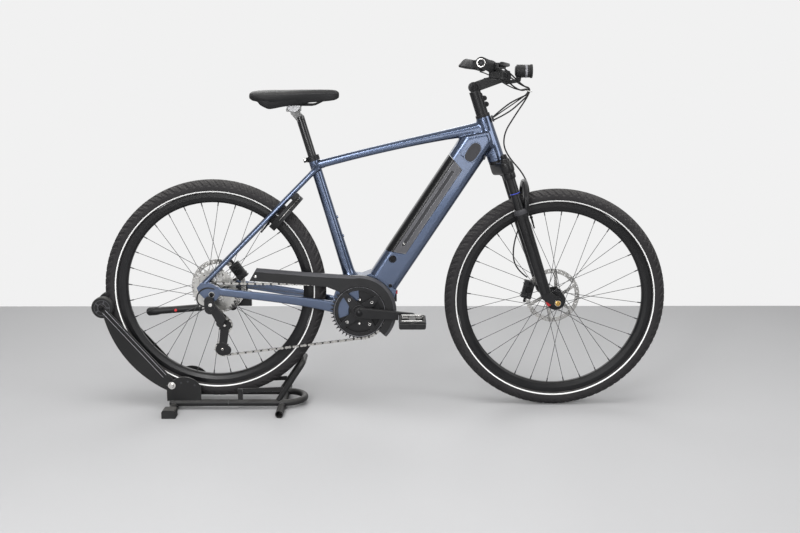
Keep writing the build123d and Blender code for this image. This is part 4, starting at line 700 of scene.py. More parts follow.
def tread_edge(first, last, foot, start, count, flank):
    # a plate's outline with a row of blunt teeth along its upper edge
    line = [(first, foot)]
    for k in range(count):
        a = start + tooth_step * k
        line += [(a, 0.0090), (a + flank, 0.0118), (a + 2 * flank, 0.0118), (a + 3 * flank, 0.0090)]
    return line + [(last, foot)]


for name, out in (("pedal_right", -1), ("pedal_left", 1)):
    low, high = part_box(name)
    mid = (low + high) / 2
    end_y = low.y if out < 0 else high.y
    shapes, rails = [], []
    side_teeth = tread_edge(low.y + 0.006, high.y - 0.006, 0.0035, low.y + 0.008, 9, 0.0026)
    for side in (-1, 1):
        rails.append(plate(side_teeth, (mid.x + side * 0.042, 0, mid.z), (0, 1, 0), (0, 0, 1),
                           side * 0.0018))
    for y in (low.y + 0.012, high.y - 0.012):
        shapes.append(side_plate(tread_edge(-0.040, 0.040, 0.0030, -0.040, 8, 0.0028), (mid.x, y, mid.z),
                                 0.0020))
        shapes.append(block((mid.x - 0.034, y - 0.006, mid.z + 0.0125),
                            (mid.x + 0.030, y + 0.006, mid.z + 0.0142)))
    mount(name + "_cage", gather(*shapes), bright_steel, name, "bright_steel", soft=0.0005, segments=2)
    mount(name + "_rails", gather(*rails), grey_trim_and_painted_highlight, name, "bright_steel", soft=0.0005, segments=2)
    bumper = [(-0.040, 0.006), (-0.043, 0.001), (-0.041, -0.006)]
    dents = (-0.034, -0.026, -0.017, -0.008, 0.008, 0.017, 0.026, 0.034)
    bumper += [(x, -0.0085 - 0.0022 * (k % 2)) for k, x in enumerate(dents)]
    bumper += [(0.041, -0.006), (0.043, 0.001), (0.040, 0.006)]
    mount(name + "_bumper", side_plate(bumper, (mid.x, end_y - out * 0.0018, mid.z), -out * 0.0034),
          pedal_resin, name, "black_plastic", soft=0.0010, segments=2)
    axle_cap = lathe([(0, 0.004), (0.007, 0.004), (0.0092, 0.002), (0.0092, -0.003), (0, -0.003)],
                     (mid.x, end_y, mid.z), (0, out, 0), 32)
    mount(name + "_axle_cap", axle_cap, pedal_resin, name, "black_plastic")


# Chain, cassette and derailleur. Plated steel chain, its inner links and rollers painted near black as the
# shade between the outer plates, pressed steel cogs, a black derailleur bolted to the hanger with resin
# pulleys and steel pivots. The chain is cut where it has to follow the cage.
chain_steel = surface("oiled_chain_steel", (0.36, 0.35, 0.335), (0.50, 0.49, 0.47), 0.30, metal=1.0,
                      grain=700.0, relief=0.1, patch=120.0, edge=0.0, dust=0.0)
# inner links and rollers near black: painted shade between the outer plates
inner_link_painted_shade = surface("chain_inner_links_painted_shade", (0.035, 0.034, 0.032), (0.070, 0.068, 0.064), 0.36, metal=1.0,
                     grain=700.0, relief=0.1, patch=120.0, edge=0.0, dust=0.0)


def chain_places():
    # the middle and lean of every link of the CAD chain, and whether it is an outer one
    work = bmesh.new()
    work.from_mesh(nodes["chain"].data)
    bmesh.ops.remove_doubles(work, verts=work.verts, dist=1e-6)
    seen, places = set(), []
    for first in work.verts:
        if first in seen:
            continue
        seen.add(first)
        island, edge_of = [], [first]
        while edge_of:
            v = edge_of.pop()
            island.append(v.co)
            for e in v.link_edges:
                other = e.other_vert(v)
                if other not in seen:
                    seen.add(other)
                    edge_of.append(other)
        low_x, high_x = min(p.x for p in island), max(p.x for p in island)
        low_z, high_z = min(p.z for p in island), max(p.z for p in island)
        mid_x, mid_z = (low_x + high_x) / 2, (low_z + high_z) / 2
        far = max(island, key=lambda p: (p.x - mid_x) ** 2 + (p.z - mid_z) ** 2)
        wide = max(p.y for p in island) - min(p.y for p in island)
        places.append((mid_x, mid_z, math.atan2(far.z - mid_z, far.x - mid_x), wide > 0.005))
    work.free()
    return places


half_pitch, link_r, waist = 0.00635, 0.0039, 0.0025
waisted = arc(link_r, range(-110, 111, 22), (half_pitch, 0)) + [(0, waist)]
waisted += arc(link_r, range(70, 291, 22), (-half_pitch, 0)) + [(0, -waist)]
cage_ahead, cage_top, cog_low = -0.470, 0.323, 0.355


def chain_part(x, z):
    # a link's stretch: the fixed run, the drop to the cage, the cage or the return to the ring
    if x > cage_ahead:
        return "return" if z < 0.250 and x < -0.090 else "run"
    if z > cog_low:
        return "run"
    return "drop" if z > cage_top else "cage"


def bend(piece, first, second, start, end, slot, *stands_for):
    # a piece that crosses a joint: hides the parts it stands for and fixes its place into its points
    if stands_for:
        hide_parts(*stands_for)
    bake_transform(piece)
    return piece


links = {}
for x, z, lean, outer in chain_places():
    along, up = around(lean)
    made = links.setdefault((chain_part(x, z), outer), [])
    for y in ((-2.25, 3.0) if outer else (-1.25, 2.1)):
        made.append(plate(waisted, (x, ring_y + y / 1000, z), along, up, 0.00075 if outer else 0.00085))
    pin, half = (0.0016, 0.0032) if outer else (0.00375, 0.00125)
    for end in (-half_pitch, half_pitch):
        at = Vector((x, ring_y, z)) + along * end
        made.append(lathe([(0, -half), (pin, -half), (pin, half), (0, half)], at, (0, 1, 0), 14))
# the drop and the return, each listed with the two bodies it crosses between and the points where it does
chain_bends = {
    "drop": ("bicycle", "derailleur_link", (-0.51, ring_y, 0.362), (-0.51, ring_y, 0.326)),
    "return": ("derailleur_link", "bicycle", (-1.34, ring_y, 0.2), (-0.10, ring_y, 0.2)),
}
for (part, outer), made in sorted(links.items()):
    piece = add_piece("chain_" + part + ("_outer_links" if outer else "_inner_links"), gather(*made),
                      chain_steel if outer else inner_link_painted_shade)
    if part in chain_bends:
        bend(piece, *chain_bends[part], "bright_steel", "chain")
    else:
        fit(piece, "derailleur_cage" if part == "cage" else "bicycle", "bright_steel", "chain")
cog_steel = surface("cog_steel", (0.40, 0.395, 0.385), (0.54, 0.53, 0.51), 0.30, metal=1.0, grain=1200.0,
                    relief=0.12, patch=40.0, edge=0.0003, dust=0.0)
dress(cog_steel, "cassette", "rear_axle", "front_axle", "ring_lock_bolt")
dress(black_alloy, "derailleur_knuckle", "derailleur_link", "derailleur_cage")
dress(pedal_resin, "pulley_upper", "pulley_lower")
pulley_places = [Vector(joints[label]["pos_m"]) for label in ("pulley_upper_spin", "pulley_lower_spin")]
upper_at, lower_at = pulley_places
pulley_bolts = [bolt_head((p.x, ring_y - 0.0066, p.z), (0, -1, 0), 0.0042, 0.002) for p in pulley_places]
mount("pulley_bolts", gather(*pulley_bolts), bright_steel, "derailleur_cage", "bright_steel")
upper_eye, lower_eye = (upper_at.x + 0.004, upper_at.z), (lower_at.x, lower_at.z)
cage_lines = [(hull(upper_eye, 0.0120, lower_eye, 0.0130), 0.0022),
              (hull(upper_eye, 0.0175, upper_eye, 0.0175), 0.0026),
              (hull(lower_eye, 0.0215, (lower_eye[0] + 0.012, lower_eye[1] - 0.003), 0.0170), 0.0030)]
outer_plates = [side_plate(line, (0, ring_y - 0.0045, 0), thick) for line, thick in cage_lines]
mount("cage_outer_plate", gather(*outer_plates), black_alloy, "derailleur_cage", "black_metal", soft=0.0006,
      segments=2)
link_low, link_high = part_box("derailleur_link")
link_line = hull((link_low.x + 0.011, link_high.z - 0.009), 0.0135,
                 (link_high.x - 0.004, link_low.z + 0.006), 0.0165)
mount("derailleur_link_case", side_plate(link_line, (0, link_high.y - 0.001, 0), 0.013), black_alloy,
      "derailleur_link", "black_metal", soft=0.003)
hanger_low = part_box("derailleur_knuckle")[0]
knuckle_line = hull((-0.545, 0.372), 0.0150, (-0.541, 0.347), 0.0190)
mount("derailleur_knuckle_case", side_plate(knuckle_line, (0, hanger_low.y + 0.009, 0), 0.0085), black_alloy,
      "bicycle", "black_metal", soft=0.0026)
mount("hanger_bolt", bolt_head((-0.540, hanger_low.y - 0.0004, 0.360), (0, -1, 0), 0.0062, 0.003),
      bright_steel, "bicycle", "bright_steel")
axle_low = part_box("rear_axle")[0]
mount("rear_axle_cap", bolt_head((-0.5362, axle_low.y, 0.3915), (0, -1, 0), 0.0075, 0.003), bolt_black,
      "bicycle", "black_metal")


# Wheels. Trekking tyres with a slick centre and slanted shoulder grooves, a white reflecting stripe on both
# walls, black box rims laced with black spokes to alloy hubs, drilled steel discs bolted to the hubs and a
# valve.
tyre_rubber = surface("tyre_rubber", (0.0187, 0.0176, 0.0187), (0.0264, 0.0253, 0.0264), 0.74, gloss=0.22,
                      grain=700.0, relief=0.5, patch=14.0, edge=0.0, dust=0.22)
stripe_white = surface("reflecting_stripe", (0.74, 0.74, 0.73), (0.82, 0.82, 0.81), 0.36, grain=2800.0,
                       relief=0.3, patch=30.0, edge=0.0, dust=0.08)
rim_black = surface("rim_black", (0.0054, 0.0054, 0.0061), (0.0081, 0.0081, 0.0090), 0.34, gloss=0.30,
                    grain=900.0, relief=0.06, edge=0.0012, dust=0.1)
dress(rim_black, "rim_front", "rim_rear")
spoke_black = surface("spoke_black", (0.045, 0.045, 0.047), (0.085, 0.085, 0.088), 0.32, metal=0.75,
                      grain=600.0, relief=0.05, edge=0.0, dust=0.0)
dress(spoke_black, "spokes_front", "spokes_rear")
disc_steel = surface("brake_disc_steel", (0.44, 0.435, 0.42), (0.56, 0.55, 0.53), 0.26, metal=1.0,
                     grain=2600.0, relief=0.2, patch=60.0, edge=0.0003, dust=0.0)
dress(disc_steel, "rotor_front", "rotor_rear")
tyre_mid_r, tyre_r = 336.0, 25.0
bead_half, bead_r = 11.0, 318.4
groove_pitch, groove_lean = 4.0, 0.055


def tyre_shape(centre):
    # section angle 0 at the crown; slanted grooves and sipes are cut into both shoulders
    steps = 900
    half = [0, 4, 8, 10, 12, 14, 20, 24, 28, 33, 38, 43, 48, 53, 58, 63, 67, 72, 82, 94, 106, 112, 114, 128,
            130, 135]
    rows = [-a for a in reversed(half[1:])] + half
    points, faces = [], []
    for k in range(steps):
        turn = 360.0 * k / steps
        t = math.radians(turn)
        section = []
        for a in rows:
            side = abs(a)
            shift = turn + (groove_lean * side if a > 0 else groove_lean * side + groove_pitch / 2)
            depth = 0.0
            if 20 <= side <= 72 and shift % groove_pitch < 1.6:
                depth = 2.3
            elif 33 <= side <= 58 and (shift + groove_pitch / 2) % groove_pitch < 0.8:
                depth = 1.3
            elif side in (10, 12) or side < 20 and shift % groove_pitch < 0.8:
                depth = 1.3
            elif 114 <= side < 130:
                depth = 0.25
            r = tyre_r - depth
            section.append((r * math.sin(math.radians(a)), tyre_mid_r + r * math.cos(math.radians(a))))
        section += [(bead_half, bead_r), (-bead_half, bead_r)]
        for across, out in section:
            points.append(Vector(centre) + mm(out * math.cos(t), across, out * math.sin(t)))
    n = len(rows) + 2
    for k in range(steps):
        here, following = k * n, (k + 1) % steps * n
        faces += [(here + i, here + (i + 1) % n, following + (i + 1) % n, following + i) for i in range(n)]
    return points, faces


for label, body in (("front", "front_wheel"), ("rear", "rear_wheel")):
    hub_at = Vector(joints[label + "_wheel_spin"]["pos_m"])
    hub_at.y = 0.0
    mount("tyre_tread_" + label, tyre_shape(hub_at), tyre_rubber, body, "tyre_rubber", "tyre_" + label,
          angle=30.0)
    bands = []
    for side in (-1, 1):
        line = arc(tyre_r + 0.1, (115, 118, 121, 124), (tyre_mid_r, 0))
        line += arc(tyre_r - 0.5, (124, 115), (tyre_mid_r, 0))
        bands.append(lathe([(r / 1000, side * a / 1000) for r, a in line], hub_at, (0, 1, 0), 180, True))
    mount("tyre_stripes_" + label, gather(*bands), stripe_white, body, "tyre_rubber")
    inward = -around(math.radians(107 if label == "front" else 51))[0]
    valve = lathe([(0, 0.046), (0.0024, 0.046), (0.0026, 0.030), (0.0032, 0.029), (0.0032, 0.012),
                   (0.0052, 0.011), (0.0052, 0.006), (0.0032, 0.005), (0.0032, -0.002), (0, -0.002)],
                  hub_at - inward * 0.288, inward, 20)
    mount("valve_" + label, valve, bolt_black, body, "black_metal")
    disc_at = hub_at + Vector((0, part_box("rotor_" + label)[1].y, 0))
    bolt_places = [disc_at + around(math.pi / 3 * k)[0] * 0.022 for k in range(6)]
    disc_bolts = [bolt_head(at, (0, 1, 0), 0.0036, 0.002) for at in bolt_places]
    mount("disc_bolts_" + label, gather(*disc_bolts), bolt_black, body, "black_metal")


# Fork. Black sprung fork: crown and stanchions turn with the stem, the cast lower legs slide on them past
# rubber wipers. A blue travel ring sits on the right stanchion, adjuster knobs on top and at the foot, a
# gold axle end.
fork_black = surface("fork_satin_black", (0.0052, 0.0052, 0.0058), (0.0076, 0.0076, 0.0084), 0.34,
                     gloss=0.30, grain=1100.0, relief=0.08, edge=0.002, dust=0.08, coat=0.15)
dress(fork_black, "fork_lowers")


def loft_rings(rings, tip_in=0.004):
    # closes a row of rings with four drawn-in rings at each end
    def drawn(ring, shift, share):
        mid = sum(ring, Vector()) / len(ring)
        return [mid + (p - mid) * share + shift for p in ring]

    ahead = (sum(rings[-1], Vector()) - sum(rings[-2], Vector())).normalized()
    behind = (sum(rings[0], Vector()) - sum(rings[1], Vector())).normalized()
    rounding = ((0.02, 1.0), (0.5, 0.93), (0.8, 0.65), (0.94, 0.3))
    full = [drawn(rings[0], behind * tip_in * b, a) for a, b in rounding]
    full += rings
    full += [drawn(rings[-1], ahead * tip_in * b, a) for a, b in reversed(rounding)]
    return join_rings(full)


leg_ahead, leg_apart = 20, 65


def crown_ring(s, inset):
    # the crown seen along the steering axis: a band round the steerer and both legs
    steerer, legs = Vector((0, 0)), [Vector((leg_ahead, y)) for y in (leg_apart, -leg_apart)]
    outline = []
    for k in range(96):
        a = 2 * math.pi * k / 96
        n = Vector((math.cos(a), math.sin(a)))
        reach = [(steerer, 26 - inset)] + [(leg, 22 - inset) for leg in legs]
        middle, r = max(reach, key=lambda item: item[0].dot(n) + item[1])
        outline.append(middle + n * r)
    return [steer_at(s, p.x, p.y) for p in outline]


crown_steps = [(246, 8), (246.8, 4.5), (248.6, 2), (252, 0.4), (256, 0), (272, 0), (278, 0.6), (282.5, 2.6),
               (285, 5.5), (286, 9)]
upper_parts = [loft_rings([crown_ring(s, inset) for s, inset in crown_steps], 0.0002)]
upper_parts.append(lathe([(0, -0.0055), (0.0240, -0.0055), (0.0258, -0.004), (0.0258, 0.004), (0, 0.004)],
                         steer_at(246, 0, 0), steer_down, 56))
upper_parts.append(lathe([(0, 0.028), (0.0142, 0.028), (0.0142, 0.246), (0, 0.246)], steer_at(0, 0, 0),
                         steer_down, 40))
for y in (-leg_apart, leg_apart):
    upper_parts.append(lathe([(0, 0.236), (0.0125, 0.236), (0.0135, 0.240), (0.0150, 0.241),
                              (0.0150, 0.2835), (0.0192, 0.284), (0.0196, 0.298), (0.0184, 0.303),
                              (0.0150, 0.304), (0.0150, 0.580), (0, 0.580)], steer_at(0, leg_ahead, y),
                             steer_down, 56))
mount("fork_crown_and_tubes", gather(*upper_parts), fork_black, "steering", "black_metal", "fork_upper",
      angle=32.0)
dress(cast_black, "front_caliper", "rear_caliper")
wipers, knobs = [], []
knob = [(0, 0.010), (0.0075, 0.010), (0.0098, 0.008), (0.0105, 0.003), (0.0105, -0.001), (0, -0.001)]
for y in (-leg_apart, leg_apart):
    wipers.append(lathe([(0.0152, -0.004), (0.0165, -0.006), (0.0212, -0.001), (0.0222, 0.004),
                         (0.0222, 0.010), (0.0152, 0.010)], steer_at(411, leg_ahead, y), steer_down, 48,
                        True))
    knobs.append(lathe(knob, steer_at(234, leg_ahead, y), -steer_down, 14))
mount("fork_wipers", gather(*wipers), rubber_and_recess_shade, "fork_lower", "soft_rubber")
blue_ring = surface("blue_ring", (0.035, 0.055, 0.42), (0.045, 0.070, 0.50), 0.4, grain=1500.0, relief=0.1,
                    dust=0.05)
ring_start, ring_at, ring_end = (steer_at(s, leg_ahead, -leg_apart) for s in (300, 352, 380))
travel_ring = lathe([(0.0151, -0.0012), (0.0162, -0.0008), (0.0162, 0.0008), (0.0151, 0.0012)], ring_at,
                    steer_down, 40, True)
bend(add_piece("travel_ring", travel_ring, blue_ring), "steering", "fork_lower", ring_start, ring_end,
     "soft_rubber")
mount("fork_top_knobs", gather(*knobs), bolt_black, "steering", "black_metal")
rebound = lathe([(0, 0.020), (0.0058, 0.020), (0.0078, 0.017), (0.0082, 0.004), (0.0070, 0.0),
                 (0.0070, -0.008), (0, -0.008)], steer_at(716, 20, -62), steer_down, 16)
mount("rebound_knob", rebound, red_plastic, "fork_lower", "black_metal")
gold = surface("gold_anodised", (0.52, 0.33, 0.10), (0.60, 0.40, 0.14), 0.28, metal=1.0, grain=1500.0,
               relief=0.08, dust=0.0)
front_hub = Vector(joints["front_wheel_spin"]["pos_m"])
axle_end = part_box("front_axle")[0].y
mount("front_axle_end", bolt_head((front_hub.x, axle_end, front_hub.z), (0, -1, 0), 0.0085, 0.0035), gold,
      "fork_lower", "bright_steel")
for label, body in (("front", "fork_lower"), ("rear", "bicycle")):
    low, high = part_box(label + "_caliper")
    mid = (low + high) / 2
    out, along = around(math.radians(166.0 if label == "front" else 37.0))
    shapes = []
    for face, y in ((-1, low.y), (1, high.y)):
        at = Vector((mid.x, y, mid.z))
        shapes.append(lathe([(0, 0.002), (0.006, 0.002), (0.007, 0.0032), (0.0105, 0.0032), (0.012, 0.001),
                             (0.012, -0.004), (0, -0.004)], at, (0, face, 0), 36))
        for step in (-0.023, 0.023):
            shapes.append(bolt_head(at + along * step, (0, face, 0), 0.0048, 0.003))
    for step in (-0.026, -0.017, 0.017, 0.026):
        rib = [(-0.016, -0.0012), (0.0195, -0.0012), (0.0195, 0.0012), (-0.016, 0.0012)]
        shapes.append(plate(rib, Vector((mid.x, low.y + 0.0015, mid.z)) + along * step, out, along,
                            -(high.y - low.y) + 0.012))
    shapes.append(lathe([(0, 0.016), (0.0045, 0.016), (0.0052, 0.014), (0.0052, -0.004), (0, -0.004)],
                        mid + along * 0.029, along, 20))
    mount(label + "_caliper_bolts", gather(*shapes), bolt_black, body, "black_metal")


# Stem and bar. A tilting alloy stem clamped to the steerer by two bolts in front, a round cap on the pivot
# and a four-bolt face plate on the bar.
clamp_bolts_at = ((41.5, 20.6), (61.3, 21.0))
stem_bits = []
for s, n in clamp_bolts_at:
    stem_bits.append(lathe([(0, -0.015), (0.0070, -0.015), (0.0082, -0.0138), (0.0082, 0.0138),
                            (0.0070, 0.015), (0, 0.015)], steer_at(s, n, 0), (0, 1, 0), 28))
mount("stem_clamp_bosses", gather(*stem_bits), black_alloy, "steering", "black_metal")
caps = []
for out in (-1, 1):
    at = stem_pivot + Vector((0, out * 0.018, 0))
    caps.append(lathe([(0, 0.0008), (0.0045, 0.0008), (0.0052, 0.0022), (0.0085, 0.0022), (0.0095, 0.001),
                       (0.0125, 0.001), (0.0138, 0.0), (0.0138, -0.002), (0, -0.002)], at, (0, out, 0), 40))
    for s, n in clamp_bolts_at:
        caps.append(bolt_head(steer_at(s, n, out * 15), (0, out, 0), 0.0044, 0.003))
mount("stem_caps", gather(*caps), bolt_black, "steering", "black_metal")
bar_mid = mm(394, 0, 1076)
face_bolts = []
for y in (-18, 18):
    for lean in (48, -42):
        out = around(math.radians(lean))[0]
        face_bolts.append(bolt_head(bar_mid + out * 0.020 + mm(0, y, 0), out, 0.0040, 0.003))
mount("stem_face_bolts", gather(*face_bolts), bolt_black, "handlebar", "black_metal")


# Grips. Soft rubber grips with a wing for the palm, ribbed at the inner end, clamped to the bar, with a
# steel-rimmed plug in each bar end.
knee = mm(350, -112, 1106)
bar_end = mm(296, -312, 1117)
grip_out = (bar_end - knee).normalized()
grip_span = (bar_end - knee).length
grip_front = (Vector((1, 0, 0)) - grip_out * grip_out.x).normalized()
grip_up = grip_out.cross(grip_front)


def mirrored(shape):
    return [Vector((p.x, -p.y, p.z)) for p in shape[0]], shape[1]


def grip_at(x, y, z, side=-1):
    # x forward, y up and z outward along the grip, in millimetres; side 1 is the left one
    p = knee + (grip_front * x + grip_up * y + grip_out * z) / 1000
    return p if side < 0 else Vector((p.x, -p.y, p.z))


def grip_shape():
    first, last = grip_span * 1000 - 130, grip_span * 1000 + 3
    marks = [(first, 13, 15.2), (first + 40, 14, 15.6), (last - 34, 20, 16.6), (last, 23, 17.0)]
    stops = [(first, -2.0), (first, 0.0)]
    stops += [(first + 2.0 * k, 0.0 if k % 2 or k > 9 else 0.7) for k in range(1, 66)]
    stops += [(last, -0.4), (last, -3.0)]
    rings = []
    for t, swell in stops:
        i = max(k for k in range(3) if marks[k][0] <= t + 1e-6)
        f = (t - marks[i][0]) / (marks[i + 1][0] - marks[i][0])
        f = f * f * (3 - 2 * f)
        wing = marks[i][1] + f * (marks[i + 1][1] - marks[i][1]) + swell
        fat = marks[i][2] + f * (marks[i + 1][2] - marks[i][2]) + swell
        outline = hull((0, 0), fat, (-wing, -7.0), 5.0 + min(swell, 0.4), 64)
        rings.append([grip_at(x, y, t) for x, y in outline])
    return join_rings(rings)


grip_rubber = surface("grip_rubber", (0.0120, 0.0120, 0.0125), (0.0170, 0.0170, 0.0175), 0.66, gloss=0.22,
                      grain=1300.0, relief=0.6, patch=25.0, dust=0.06)
shape = grip_shape()
mount("palm_grips", gather(shape, mirrored(shape)), grip_rubber, "handlebar", "soft_rubber", "grips",
      angle=50.0)
end_at = knee + grip_out * (grip_span + 0.003)
rim = lathe([(0.0092, -0.002), (0.0092, 0.0008), (0.0100, 0.0014), (0.0118, 0.0014), (0.0126, 0.0006),
             (0.0126, -0.002)], end_at, grip_out, 48, True)
core = lathe([(0, 0.0004), (0.003, 0.0004), (0.0035, -0.0004), (0.0092, -0.0004), (0.0092, -0.002),
              (0, -0.002)], end_at, grip_out, 36)
mount("bar_end_rims", gather(rim, mirrored(rim)), bright_steel, "handlebar", "bright_steel")
mount("bar_end_plugs", gather(core, mirrored(core)), rubber_and_recess_shade, "handlebar", "soft_rubber")
collar_at = knee + grip_out * (grip_span - 0.1325)
collar = lathe([(0.0112, -0.004), (0.0150, -0.004), (0.0158, -0.003), (0.0158, 0.002), (0.0150, 0.0026),
                (0.0112, 0.0026)], collar_at, grip_out, 40, True)
mount("grip_clamps", gather(collar, mirrored(collar)), black_alloy, "handlebar", "black_metal")


# Controls. Cast brake bodies with forged two-finger levers, a shifter under the right side and a button pad
# on the left, all clamped round the bar.
black_plastic = surface("black_plastic", (0.0090, 0.0090, 0.0095), (0.0140, 0.0140, 0.0150), 0.48,
                        gloss=0.30, grain=2200.0, relief=0.3, edge=0.001, dust=0.1)
dress(black_plastic, "ring_lock", "control_housings", "shift_lever", "headlamp")
blade = [(29, 58), (37, 54), (45, 54), (51, 62), (58, 75), (63, 88), (66, 104), (66.4, 120), (65, 150),
         (61.5, 190), (58.5, 197.5), (54, 199), (50.6, 194), (53.5, 158), (55, 120), (53.6, 104), (49, 91),
         (43, 81), (36, 72), (30, 68)]
shape = plate(in_metres(blade), grip_at(0, 3, 0), grip_front, grip_out, 0.008)
for name, data in (("lever_right", shape), ("lever_left", mirrored(shape))):
    mount("brake_" + name + "_blade", data, black_alloy, name, "black_metal", "brake_" + name, angle=50.0,
          soft=0.0026, segments=3)
clamp_bolts = []
for side in (-1, 1):
    away = Vector((grip_up.x, grip_up.y if side < 0 else -grip_up.y, grip_up.z))
    clamp_bolts += [bolt_head(grip_at(38, 7.0, 62, side), away, 0.0042, 0.0022),
                    bolt_head(grip_at(20, 6.6, 38, side), away, 0.0032, 0.0018),
                    bolt_head(grip_at(-15, 6.5, 50.5, side), away, 0.0034, 0.003)]
mount("control_bolts", gather(*clamp_bolts), bright_steel, "handlebar", "bright_steel")
lid_line = [(12, 34), (44, 34), (46, 38), (46, 58), (40, 66), (16, 66), (12, 60)]
lid = plate(in_metres(lid_line), grip_at(0, 8.6, 0), grip_front, grip_out, 0.0024)
mount("brake_body_lids", gather(lid, mirrored(lid)), black_alloy, "handlebar", "black_metal", soft=0.0009)
pads = [mirrored(plate(oval(0.010, 0.007, 24), grip_at(-25.4, y, 70), grip_out, grip_up, 0.0016))
        for y in (0, 10)]
mount("remote_buttons", gather(*pads), rubber_and_recess_shade, "handlebar", "soft_rubber", soft=0.0006, segments=2)


# Headlamp. A short round black lamp on a hinge in front of the stem, with cooling rings at the back, a
# bright band and a clear lens in a ring.
lamp_axis = mm(0, 0, 1093)
rings = []
for x in (434.5, 440, 445.5, 451):
    rings.append(lathe([(0.0195, -0.0011), (0.0209, -0.0008), (0.0209, 0.0008), (0.0195, 0.0011)],
                       lamp_axis + mm(x, 0, 0), (1, 0, 0), 56, True))
mount("headlamp_rings", gather(*rings), black_alloy, "headlamp", "black_metal")
band = lathe([(0.0198, -0.0036), (0.0207, -0.0030), (0.0207, 0.0030), (0.0198, 0.0036)],
             lamp_axis + mm(463, 0, 0), (1, 0, 0), 64, True)
mount("headlamp_band", band, grey_trim_and_painted_highlight, "headlamp", "bright_steel")
reflector = surface("lamp_reflector", (0.70, 0.70, 0.70), (0.80, 0.80, 0.80), 0.18, metal=1.0, grain=900.0,
                    relief=0.2, dust=0.0)
cup = lathe([(0.0184, 0.0035), (0.0135, 0.0014), (0.006, 0.0004), (0, 0.0002), (0, -0.001),
             (0.0184, -0.001)], lamp_axis + mm(478.4, 0, 0), (1, 0, 0), 48)
mount("headlamp_reflector", cup, reflector, "headlamp", "bright_steel")
lens_glass = surface("lamp_lens", (0.86, 0.88, 0.90), (0.90, 0.92, 0.94), 0.06, grain=400.0, relief=0.15,
                     dust=0.0, edge=0.0)
lens_glass.node_tree.nodes["Principled BSDF"].inputs["Transmission Weight"].default_value = 0.85
lens = lathe([(0, 0.0018), (0.008, 0.0015), (0.014, 0.0007), (0.0184, -0.0004), (0.0184, -0.0016),
              (0, -0.0008)], lamp_axis + mm(481.4, 0, 0), (1, 0, 0), 48)
mount("headlamp_lens", lens, lens_glass, "headlamp", "bright_steel")


# Saddle. A foam pad under black cover cloth on a moulded base: a dished top, a sewn seam along each side,
# black steel rails held by a two-bolt clamp on the post.
def through(values, steps):
    # smooth numbers through the given ones, by even steps from each to the next
    out = []
    last = len(values) - 1
    for i in range(last):
        a, b, c, d = values[max(i - 1, 0)], values[i], values[i + 1], values[min(i + 2, last)]
        for k in range(steps):
            t = k / steps
            out.append(0.5 * (2 * b + (c - a) * t + (2 * a - 5 * b + 4 * c - d) * t ** 2
                              + (3 * b - a - 3 * c + d) * t ** 3))
    return out + [values[last]]


stations = [(-400, 66, 1028, 20, 2), (-388, 84, 1032, 29, 3), (-350, 90, 1034, 40, 3.5),
            (-300, 78, 1034.5, 42, 3.5), (-240, 46, 1035.5, 41, 3), (-180, 27, 1036, 38, 2),
            (-142, 23, 1034.5, 32, 1), (-130, 16, 1030, 22, 0.5)]
tracks = [through([s[i] for s in stations], 8) for i in range(5)]


def saddle_half(w, top, deep, dip):
    flat = [(0, top - dip), (0.36 * w, top), (0.74 * w, top - 0.10 * deep), (0.97 * w, top - 0.36 * deep),
            (w, top - 0.68 * deep), (0.86 * w, top - 0.97 * deep), (0.5 * w, top - 0.86 * deep),
            (0, top - 0.70 * deep)]
    return list(zip(through([p[0] for p in flat], 6), through([p[1] for p in flat], 6)))


saddle_rings, seams = [], {-1: [], 1: []}
for x, w, top, deep, dip in zip(*tracks):
    half = saddle_half(w, top, deep, dip)
    ring = [mm(x, y, z) for y, z in half] + [mm(x, -y, z) for y, z in reversed(half[1:-1])]
    saddle_rings.append(ring)
    for side in (-1, 1):
        y, z = half[17]
        seams[side].append(mm(x, side * (y + 0.25), z + 0.1))
saddle_cloth = surface("saddle_cover", (0.0095, 0.0095, 0.0101), (0.0140, 0.0140, 0.0149), 0.58, gloss=0.22,
                       grain=950.0, relief=0.55, patch=18.0, edge=0.0, dust=0.1)
saddle = mount("saddle_cushion", loft_rings(saddle_rings), saddle_cloth, "saddle", "saddle_cover",
               "saddle_pad", angle=60.0)
piping = surface("seam_thread", (0.030, 0.030, 0.032), (0.045, 0.045, 0.047), 0.7, grain=1500.0, relief=0.4,
                 edge=0.0)
seam_shapes = []
for side in (-1, 1):
    line = seams[side]
    seam_shapes.append(tube(line, 0.0007, 8))
    for i in range(1, len(line) - 1):
        run = (line[i + 1] - line[i - 1]).normalized()
        lift = Vector((0, side * 0.0006, 0.0022))
        seam_shapes.append(tube([line[i] + lift - run * 0.0018, line[i] + lift + run * 0.0018], 0.00045, 6))
mount("saddle_seams", gather(*seam_shapes), piping, "saddle", "saddle_cover")
base_rings = []
for x, w, top, deep, dip in list(zip(*tracks))[3:-3]:
    wide, under = 0.80 * w, top - 0.98 * deep
    outline = [(-wide, under), (-0.5 * wide, under + 1.5), (0.5 * wide, under + 1.5), (wide, under),
               (wide, under + 6), (-wide, under + 6)]
    base_rings.append([mm(x, y, z) for y, z in outline])
mount("saddle_base", loft_rings(base_rings, 0.001), black_plastic, "saddle", "black_plastic")
skirt_low = {-398: 1010, -390: 1004, -374: 1000, -366: 991, -350: 982, -335: 978, -300: 984, -260: 990,
             -220: 995}
marks = sorted(skirt_low)
